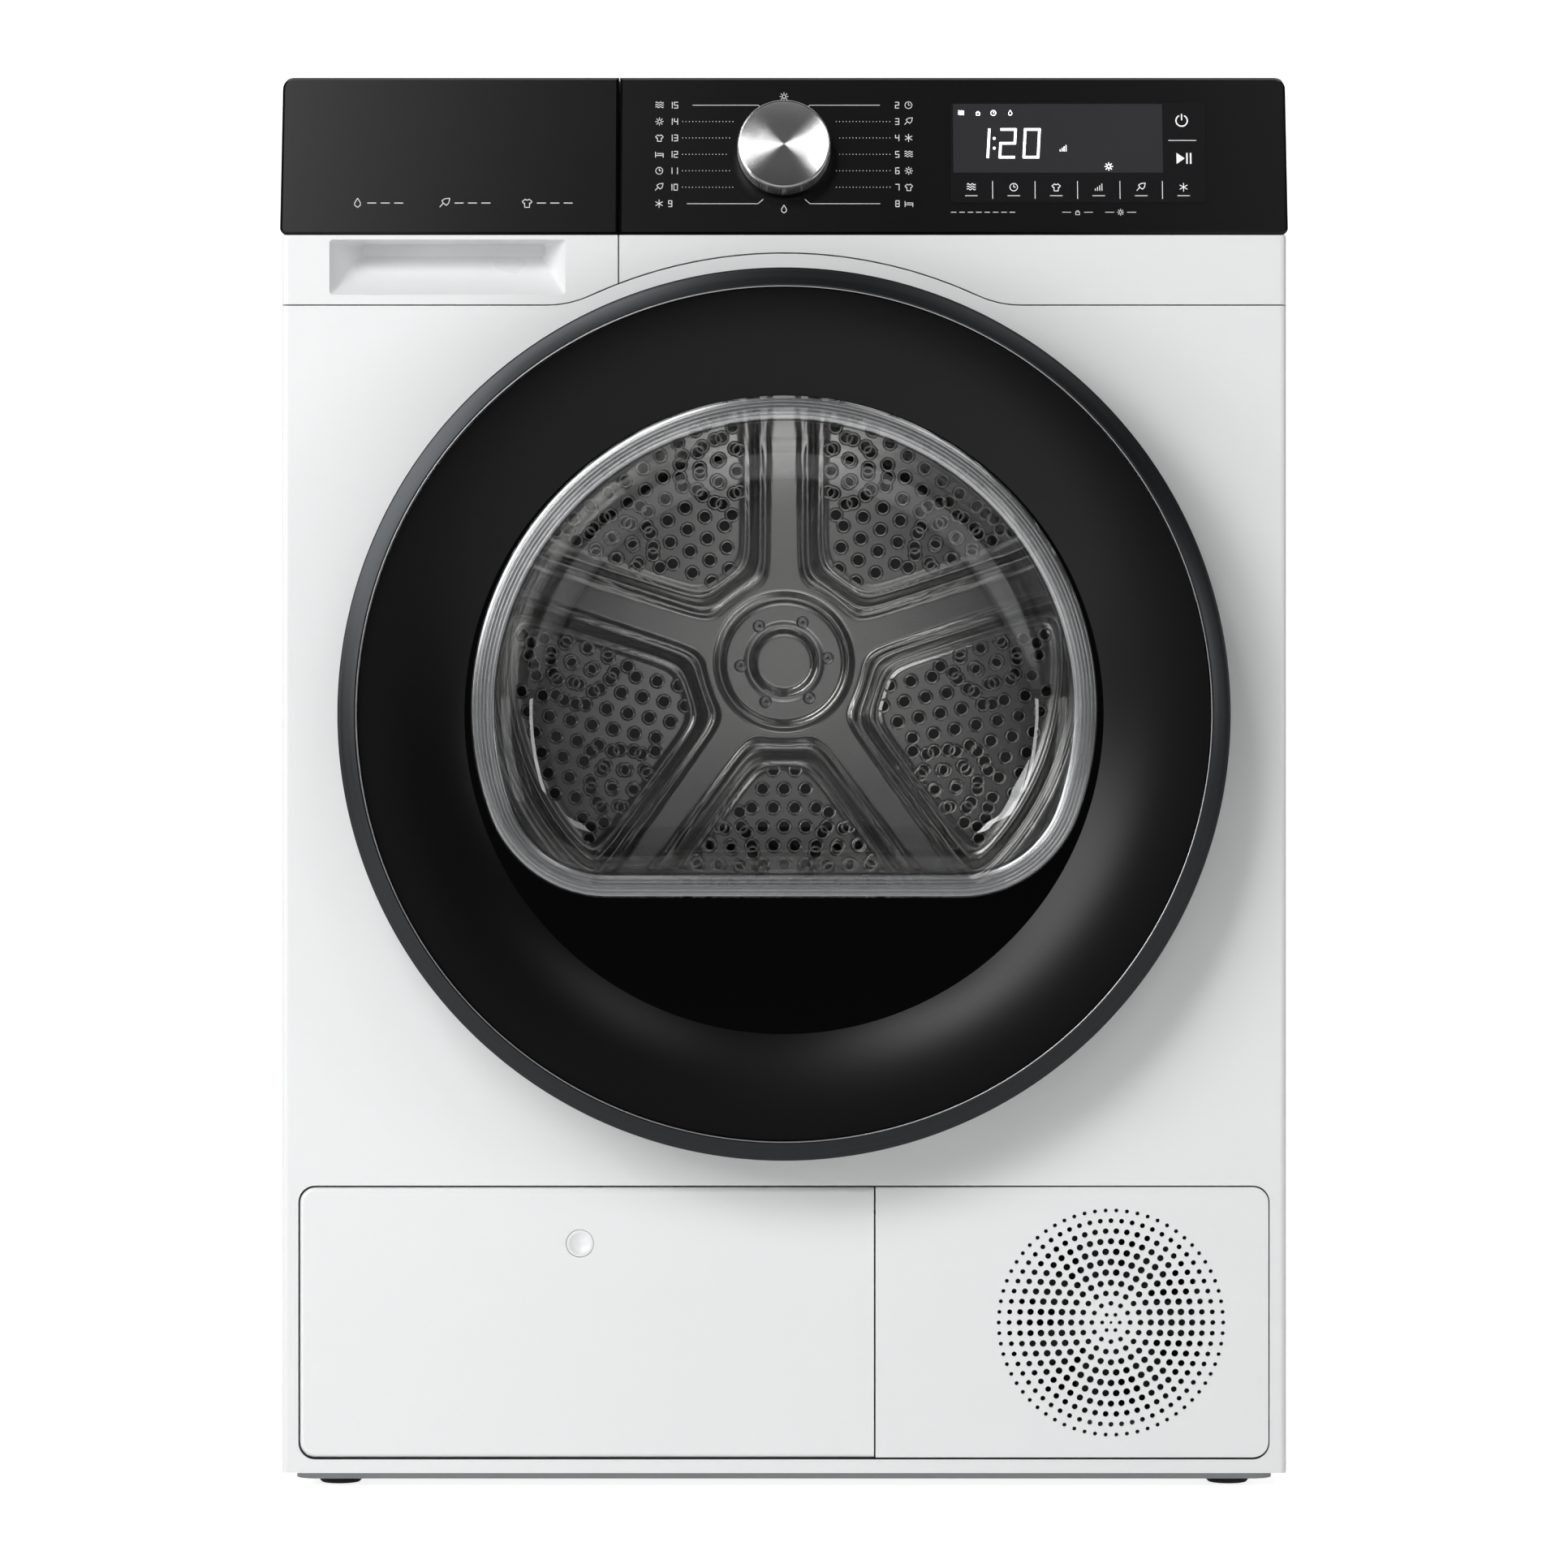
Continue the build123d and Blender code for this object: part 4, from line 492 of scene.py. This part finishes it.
def build_drum_back():
    base = DRUM_BACK - 0.3 * MM
    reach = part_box("drum_shell")[1][0] - 2.2 * MM
    verts, faces = [drum_place(0, 0, base - pressing(0, 0))], []
    turns, rings = 360, 150
    for i in range(1, rings + 1):
        r = reach * i / rings
        for k in range(turns):
            a = 2 * math.pi * k / turns
            x, z = r * math.cos(a), r * math.sin(a)
            verts.append(drum_place(x, z, base - pressing(x, z)))
    for k in range(turns):
        faces.append((0, 1 + k, 1 + (k + 1) % turns))
    for i in range(1, rings):
        a0, b0 = 1 + (i - 1) * turns, 1 + i * turns
        for k in range(turns):
            m = (k + 1) % turns
            faces.append((a0 + k, b0 + k, b0 + m, a0 + m))
    star = make_piece("drum_back_star", verts, faces, "drum", [DRUM_SHEET_METAL])
    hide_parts("drum_back")


def build_dimples():
    """Dimpled air holes in rows along each field, and the six hub screws. The holes are not cut: a dark disc in
    each dimple paints the shade seen through the hole.
    """
    verts, faces, kinds = [], [], []
    lip = ((5.6, 0.0), (4.6, 1.0), (3.9, 1.1), (3.4, 0.6), (3.3, 0.15))
    sides = 18

    def dimple(x, z, level):
        start = len(verts)
        for r, h in lip:
            for k in range(sides):
                a = 2 * math.pi * k / sides
                verts.append(drum_place(x + r * MM * math.cos(a), z + r * MM * math.sin(a), level - h * MM))
        for i in range(len(lip) - 1):
            for k in range(sides):
                m = (k + 1) % sides
                faces.append((start + i * sides + k, start + (i + 1) * sides + k,
                              start + (i + 1) * sides + m, start + i * sides + m))
                kinds.append(0)
        # flat disc closing the dimple: painted shade where the open hole would be
        faces.append(tuple(start + (len(lip) - 1) * sides + k for k in range(sides)))
        kinds.append(1)

    for spoke in SPOKES:
        middle = spoke + math.radians(36)
        ux, uz = math.cos(middle), math.sin(middle)
        for row in range(12):
            along = FIELD_IN - 4 * MM + row * HOLE_PITCH * 0.88
            for column in range(-9, 10):
                across = (column + 0.5 * (row % 2)) * HOLE_PITCH
                x = along * ux - across * uz
                z = along * uz + across * ux
                if field_distance(x, z) < -8 * MM:
                    dimple(x, z, DRUM_BACK - 0.3 * MM - pressing(x, z) + 0.05 * MM)
    make_piece("drum_air_holes", verts, faces, "drum", [DRUM_SHEET_METAL, HOLE_PAINTED_SHADE],
               indices=kinds)

    head = [(0, 0), (0.4, 2.0), (1.2, 2.6), (3.4, 2.6), (4.2, 2.0), (4.4, 0.0)]
    verts, faces = [], []
    for k in range(6):
        a = math.radians(5 + 60 * k)
        cx, cz = HUB_SCREW_R * math.cos(a), HUB_SCREW_R * math.sin(a)
        level = DRUM_BACK - 0.5 * MM - pressing(cx, cz)
        profile = [(r * MM + 0.05 * MM, h * MM) for r, h in head]
        v, f = turn_profile(profile, 24, lambda x, z, h: drum_place(cx + x, cz + z, level - h))
        faces += [tuple(i + len(verts) for i in q) for q in f]
        verts += v
    make_piece("hub_screws", verts, faces, "drum", [ZINC])


DRUM_SHEET_METAL = surface("drum_sheet", (0.60, 0.60, 0.59), rough=0.24, metal=1.0, grain=260, bump=0.06,
                           tint=0.08, rough_span=0.05, patch=14)
# near-black discs standing in for the open air holes: painted shade, not a colour of the drum
HOLE_PAINTED_SHADE = surface("hole_painted_shade", (0.01, 0.01, 0.01), rough=0.8)
build_drum_back()
build_dimples()


# ------------------------------------------------------------------ knob
def build_knob():
    """Spun aluminium knob with a turned face, a bright chamfer and a knurled skirt."""
    radius = (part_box("selector_knob")[1][0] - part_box("selector_knob")[0][0]) / 2
    frame_z = KNOB_AXIS
    frame_x = Vector((1, 0, 0))
    frame_y = frame_z.cross(frame_x)
    turn = Matrix((frame_x, frame_y, frame_z)).transposed().to_4x4()
    face_at = 15.9 * MM
    profile = [(0.2 * MM, face_at - 0.5 * MM), (radius * 0.5, face_at - 0.32 * MM),
               (radius - 2.6 * MM, face_at),
               (radius - 1.7 * MM, face_at + 0.2 * MM), (radius - 0.8 * MM, face_at - 0.1 * MM),
               (radius - 0.2 * MM, face_at - 1.0 * MM), (radius, face_at - 2.2 * MM), (radius, 3.4 * MM),
               (radius - 0.9 * MM, 2.4 * MM), (radius - 1.6 * MM, 0.9 * MM), (0.2 * MM, 0.9 * MM)]
    verts, faces = turn_profile(profile, 180, lambda x, y, h: Vector((x, y, h)))
    for i, v in enumerate(verts):
        r = math.hypot(v.x, v.y)
        if r > radius - 0.05 * MM and v.z < face_at - 1 * MM:
            wave = 1 - 0.006 * (i // len(profile) % 2)
            verts[i] = Vector((v.x * wave, v.y * wave, v.z))
    knob = make_piece("knob_cap", verts, faces, "selector", [KNOB_METAL])
    knob.matrix_world = Matrix.Translation(KNOB_AT) @ turn
    knob.data.set_sharp_from_angle(angle=math.radians(28))
    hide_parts("selector_knob")


build_knob()


# ------------------------------------------------------------------ printed marks on the black console
class Marks:
    """Collects thin raised strokes lying on the leaning black face. Coordinates in millimetres."""

    def __init__(self, lift=0.12):
        self.verts, self.faces, self.lift = [], [], lift

    def stroke(self, points, width=0.45):
        for (x0, z0), (x1, z1) in zip(points, points[1:]):
            length = math.hypot(x1 - x0, z1 - z0)
            if length < 1e-6:
                continue
            ux, uz = (x1 - x0) / length, (z1 - z0) / length
            ox, oz = -uz * width / 2, ux * width / 2
            ex, ez = ux * width * 0.35, uz * width * 0.35
            corners = [(x0 - ex + ox, z0 - ez + oz), (x0 - ex - ox, z0 - ez - oz),
                       (x1 + ex - ox, z1 + ez - oz), (x1 + ex + ox, z1 + ez + oz)]
            self.slab(corners)

    def slab(self, corners, thick=0.08):
        start = len(self.verts)
        for lift in (self.lift - 0.1, self.lift + thick - 0.1):
            for x, z in corners:
                self.verts.append(fascia_point(x * MM, z * MM, lift * MM))
        n = len(corners)
        self.faces.append(tuple(start + n + i for i in range(n)))
        self.faces.append(tuple(start + n - 1 - i for i in range(n)))
        for i in range(n):
            j = (i + 1) % n
            self.faces.append((start + i, start + j, start + n + j, start + n + i))

    def ring(self, x, z, r, width=0.45, start=0, extent=360, count=20):
        pts = [(x + r * math.cos(math.radians(start + extent * k / count)),
                z + r * math.sin(math.radians(start + extent * k / count))) for k in range(count + 1)]
        self.stroke(pts, width)

    def dot(self, x, z, r):
        self.slab([(x + r * math.cos(k * math.pi / 4), z + r * math.sin(k * math.pi / 4)) for k in range(8)])

    def piece(self, name, body, slot, mat):
        return make_piece(name, self.verts, self.faces, body, [mat], smooth=False)


SEGMENTS = {"0": "abcdef", "1": "bc", "2": "abged", "3": "abgcd", "4": "fgbc", "5": "afgcd", "6": "afgedc",
            "7": "abc", "8": "abcdefg", "9": "abcdfg"}


def numeral(marks, text, x, z, height, width=0.45, slant=0.0, spread=0.56):
    """Plain seven-stroke numerals, left edge at x, middle at z; returns the right edge."""
    half = height / 2
    wide = height * spread
    for sign in text:
        place = {"a": ((0, half), (wide, half)), "b": ((wide, half), (wide, 0)),
                 "c": ((wide, 0), (wide, -half)), "d": ((0, -half), (wide, -half)),
                 "e": ((0, 0), (0, -half)), "f": ((0, half), (0, 0)), "g": ((0, 0), (wide, 0))}
        for name in SEGMENTS[sign]:
            marks.stroke([(x + px + slant * pz, z + pz) for px, pz in place[name]], width)
        x += wide + height * 0.34
    return x - height * 0.34


def icon(marks, kind, x, z, s=2.2, w=0.42):
    """Small generic pictograms, about 2 s across."""
    if kind == "sun":
        marks.ring(x, z, s * 0.45, w, count=12)
        for k in range(8):
            c, d = math.cos(k * math.pi / 4), math.sin(k * math.pi / 4)
            marks.stroke([(x + c * s * 0.75, z + d * s * 0.75), (x + c * s, z + d * s)], w)
    elif kind == "drop":
        marks.stroke([(x, z + s), (x - s * 0.6, z), (x - s * 0.55, z - s * 0.5), (x, z - s * 0.9),
                      (x + s * 0.55, z - s * 0.5), (x + s * 0.6, z), (x, z + s)], w)
    elif kind == "shirt":
        marks.stroke([(x - s * 0.4, z + s * 0.8), (x - s, z + s * 0.3), (x - s * 0.7, z - s * 0.1),
                      (x - s * 0.5, z), (x - s * 0.5, z - s * 0.9), (x + s * 0.5, z - s * 0.9),
                      (x + s * 0.5, z), (x + s * 0.7, z - s * 0.1), (x + s, z + s * 0.3),
                      (x + s * 0.4, z + s * 0.8), (x, z + s * 0.55), (x - s * 0.4, z + s * 0.8)], w)
    elif kind == "clock":
        marks.ring(x, z, s * 0.9, w)
        marks.stroke([(x, z + s * 0.55), (x, z), (x + s * 0.4, z)], w)
    elif kind == "wave":
        for lift in (-0.5, 0.1, 0.7):
            marks.stroke([(x + s * (k / 5 - 1), z + s * (lift + 0.18 * math.sin(k * math.pi / 2.5)))
                          for k in range(11)], w)
    elif kind == "star":
        for k in range(3):
            c, d = math.cos(k * math.pi / 3 + 0.52), math.sin(k * math.pi / 3 + 0.52)
            marks.stroke([(x - c * s, z - d * s), (x + c * s, z + d * s)], w)
    elif kind == "leaf":
        marks.stroke([(x - s, z - s * 0.8), (x - s * 0.3, z), (x - s * 0.6, z + s * 0.5), (x, z + s * 0.9),
                      (x + s, z + s), (x + s * 0.8, z), (x + s * 0.3, z - s * 0.5), (x - s * 0.3, z)], w)
    elif kind == "bed":
        marks.stroke([(x - s, z + s * 0.6), (x - s, z - s * 0.8)], w)
        marks.stroke([(x - s, z - s * 0.3), (x + s, z - s * 0.3), (x + s, z - s * 0.8)], w)
        marks.stroke([(x - s * 0.6, z + s * 0.2), (x + s, z + s * 0.2), (x + s, z - s * 0.3)], w)
    elif kind == "level":
        for k in range(4):
            marks.stroke([(x - s * 0.8 + k * s * 0.53, z - s * 0.8),
                          (x - s * 0.8 + k * s * 0.53, z - s * 0.4 + k * s * 0.4)], w)
    elif kind == "lock":
        marks.stroke([(x - s * 0.6, z + s * 0.1), (x + s * 0.6, z + s * 0.1), (x + s * 0.6, z - s * 0.8),
                      (x - s * 0.6, z - s * 0.8), (x - s * 0.6, z + s * 0.1)], w)
        marks.ring(x, z + s * 0.1, s * 0.4, w, 0, 180, 8)


PROGRAMME_ICONS = ("clock", "leaf", "star", "wave", "sun", "shirt", "bed")
ROW_TOP, ROW_STEP = 825.9, 10.05        # heights of the seven programme rows
COLUMN_X = 77.0                          # outer edge of both columns
KNOB_CLEAR, LEADER_R = 30.5, 33.0        # leaders stop on a circle round the knob
DOT_PITCH = 2.0
THIN = 0.34                              # width of a fine printed line


def build_programmes():
    """Two columns of numbered pictograms with leader lines to the knob, and one mark above and below it."""
    marks = Marks()
    knob_z = KNOB_AT[2] / MM
    for row in range(7):
        z = ROW_TOP - ROW_STEP * row
        for side in (-1, 1):
            number = str(row + 2 if side > 0 else 15 - row)
            wide = len(number) * 3.2
            name = PROGRAMME_ICONS[row if side > 0 else (row + 3) % 7]
            if side < 0:
                icon(marks, name, -COLUMN_X + 2.6, z, 2.3)
                right = numeral(marks, number, -COLUMN_X + 8.2, z, 3.6)
                start = right + 3
            else:
                icon(marks, name, COLUMN_X - 2.6, z, 2.3)
                numeral(marks, number, COLUMN_X - 8.2 - wide + 1.0, z, 3.6)
                start = -(COLUMN_X - 8.2 - wide - 2.4)
            end = -max(KNOB_CLEAR, math.sqrt(max(0.0, LEADER_R**2 - (z - knob_z) ** 2)))
            if row in (0, 6):
                bend = 2.6 if row == 6 else -2.6
                line = [(start + 6, z), (-15.5, z), (-12.5, z + bend)]
                marks.stroke([(-side * x if side > 0 else x, zz) for x, zz in line], THIN)
            else:
                count = int((end - start) / DOT_PITCH)
                for k in range(count + 1):
                    x = start + DOT_PITCH * k
                    marks.dot(-x if side > 0 else x, z, 0.26)
    icon(marks, "sun", 0, 831.2, 2.4)
    icon(marks, "drop", 0, 762.2, 2.5)
    marks.piece("programme_marks", "cabinet", "black_gloss", PRINT_WITH_GLOW)


def build_tank_marks():
    """Three small generic marks low on the drawer front."""
    marks = Marks()
    row_z = 766.0
    for x, name in ((-254, "drop"), (-202, "leaf"), (-153, "shirt")):
        icon(marks, name, x, row_z, 2.9)
        for k in range(3):
            marks.stroke([(x + 6 + 8 * k, row_z), (x + 11 + 8 * k, row_z)], 0.5)
    marks.piece("drawer_marks", "water_tank", "black_gloss", PRINT_WITH_GLOW)


def build_display():
    """Lighter display window with lit numerals, key marks, dividers and the power and start marks."""
    glass = Marks(lift=0.32)
    low_x, high_x, low_z, high_z = 101.0, 226.0, 784.5, 826.5
    glass.slab([(low_x, low_z), (high_x, low_z), (high_x, high_z), (low_x, high_z)], thick=0.10)
    glass.piece("display_window", "cabinet", "display_glass", DISPLAY_TINT)

    glow = Marks(lift=0.46)
    time_z, time_height, time_stroke = 802.4, 17.0, 1.5
    right = numeral(glow, "1", 117.0, time_z, time_height, time_stroke, slant=0.06, spread=0.30)
    for dz in (-3.0, 3.0):
        glow.dot(right + 3.4, time_z + dz, 0.9)
    numeral(glow, "20", right + 7.2, time_z, time_height, time_stroke, slant=0.06, spread=0.50)
    for x, name in ((105.8, "wave"), (115.9, "lock"), (125.1, "clock"), (135.2, "drop")):
        icon(glow, name, x, 821.0, 1.7, THIN)
    icon(glow, "level", 166.6, 799.4, 2.2, 0.5)
    icon(glow, "sun", 193.7, 788.2, 2.4, 0.4)
    glow.piece("display_marks", "cabinet", "display_glass", GLOW)

    keys = Marks(lift=0.36)
    key_x, key_pitch = 111.6, 25.3
    for k, name in enumerate(("wave", "clock", "shirt", "level", "leaf", "star")):
        x = key_x + key_pitch * k
        icon(keys, name, x, 775.6, 2.5, 0.42)
        keys.stroke([(x - 3.6, 770.4), (x + 3.6, 770.4)], THIN)
        if k:
            keys.stroke([(x - 12.6, 768.6), (x - 12.6, 779.2)], THIN)
    keys.ring(237.6, 816.3, 3.4, 0.75, 120, 300, 22)
    keys.stroke([(237.6, 816.8), (237.6, 820.2)], 0.75)
    keys.stroke([(229.6, 804.2), (246.0, 804.2)], THIN)
    keys.slab([(234.2, 789.8), (234.2, 796.6), (239.0, 793.2)])
    for x in (240.4, 242.6):
        keys.stroke([(x, 790.2), (x, 796.2)], 0.9)
    keys.piece("key_marks", "cabinet", "display_glass", BRIGHT_PRINT_WITH_GLOW)

    low = Marks()
    low_row = 760.4
    for x, name in ((174.8, "lock"), (200.4, "sun")):
        icon(low, name, x, low_row, 1.9, 0.36)
        for side in (-1, 1):
            low.stroke([(x + side * 4, low_row), (x + side * 9, low_row)], THIN)
    for k in range(8):
        low.stroke([(99.5 + 5 * k, low_row), (102.5 + 5 * k, low_row)], 0.4)
    low.piece("lower_marks", "cabinet", "black_gloss", PRINT_WITH_GLOW)


# brighter printed key marks with a painted glow: emission makes the print shine though it is no lamp
BRIGHT_PRINT_WITH_GLOW = lit("print_bright_painted_glow", (0.8, 0.8, 0.8), 0.35)
DISPLAY_TINT = surface("display_tint", (0.030, 0.030, 0.033), rough=0.14, grain=50, bump=0.004, tint=0.15,
                       rough_span=0.03)
build_programmes()
build_tank_marks()
build_display()


# ------------------------------------------------------------------ camera, light and floor
camera = bpy.data.objects.new("camera", bpy.data.cameras.new("camera"))
bpy.context.scene.collection.objects.link(camera)
VIEW_DISTANCE = 3.10
VIEW_HEIGHT = 0.420
VIEW_WIDTH = 0.933
camera.location = (0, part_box("front_panel")[0][1] - VIEW_DISTANCE, VIEW_HEIGHT)
camera.rotation_euler = (math.radians(90), 0, 0)
camera.data.sensor_width = 36
camera.data.lens = 36 * VIEW_DISTANCE / VIEW_WIDTH
bpy.context.scene.camera = camera


def area_light(name, place, target, size, power):
    light = bpy.data.objects.new(name, bpy.data.lights.new(name, "AREA"))
    light.data.shape = "RECTANGLE"
    light.data.size, light.data.size_y = size
    light.data.energy = power
    light.location = place
    aim = Vector(target) - Vector(place)
    light.rotation_euler = aim.to_track_quat("-Z", "Y").to_euler()
    bpy.context.scene.collection.objects.link(light)


area_light("key_left", (-1.95, -2.6, 1.75), (-0.1, -0.27, 0.5), (1.6, 1.5), 54)
area_light("high_left", (-1.0, -2.95, 2.6), (-0.1, -0.27, 0.7), (0.6, 1.2), 24)
area_light("high_right", (1.2, -3.0, 2.7), (0.1, -0.27, 0.7), (0.95, 0.9), 8)
area_light("side_left", (-2.3, -1.5, 0.85), (0, -0.2, 0.7), (0.5, 0.9), 9)
area_light("side_right", (2.3, -1.5, 0.85), (0, -0.2, 0.7), (0.5, 0.9), 8)
area_light("front_card", (0, -3.9, 1.2), (0, 0, 1.2), (2.2, 1.5), 2)
area_light("top_soft", (0, 0.8, 3.0), (0, 0.5, 0.4), (3.0, 1.0), 10)
area_light("backdrop_light", (0, 1.4, 4.6), (0, 4.4, 1.2), (6.0, 1.5), 60)
area_light("drum_lamp", (0, -0.16, DRUM_Z + 0.2), (0, 0.27, DRUM_Z - 0.02), (0.16, 0.06), 0.04)

world = bpy.data.worlds.new("studio")
bpy.context.scene.world = world
world.use_nodes = True
world.node_tree.nodes["Background"].inputs["Color"].default_value = (1.0, 1.0, 1.0, 1)
world.node_tree.nodes["Background"].inputs["Strength"].default_value = 0.05

# a floor that curves up into a wall; it glows a little, and more to the camera than to the part
FLOOR_BACK, SWEEP_R, WALL_TOP, FLOOR_HALF = 3.0, 1.5, 6.0, 7.0
floor_mat = surface("floor", (0.93, 0.93, 0.93), rough=0.6, grain=30, bump=0.02, tint=0.01)
sweep_points = [(-6.0, 0.0), (FLOOR_BACK, 0.0)]
sweep_points += [(FLOOR_BACK + SWEEP_R * math.sin(a), SWEEP_R - SWEEP_R * math.cos(a)) for a in
                 [math.pi / 2 * k / 16 for k in range(1, 17)]] + [(FLOOR_BACK + SWEEP_R, WALL_TOP)]
verts = [(x, y, z) for y, z in sweep_points for x in (-FLOOR_HALF, FLOOR_HALF)]
faces = [(2 * k, 2 * k + 1, 2 * k + 3, 2 * k + 2) for k in range(len(sweep_points) - 1)]
floor_mesh = bpy.data.meshes.new("floor")
floor_mesh.from_pydata(verts, [], faces)
floor_tree = floor_mat.node_tree
floor_bsdf = floor_tree.nodes["Principled BSDF"]
floor_bsdf.inputs["Emission Color"].default_value = (1, 1, 1, 1)
sight = floor_tree.nodes.new("ShaderNodeLightPath")
add_range(floor_tree, sight.outputs["Is Camera Ray"], 0.20, 0.82, floor_bsdf.inputs["Emission Strength"])
floor_mesh.materials.append(floor_mat)
floor_mesh.polygons.foreach_set("use_smooth", [True] * len(floor_mesh.polygons))
floor = bpy.data.objects.new("floor", floor_mesh)
bpy.context.scene.collection.objects.link(floor)

bpy.context.scene.view_settings.view_transform = "Standard"
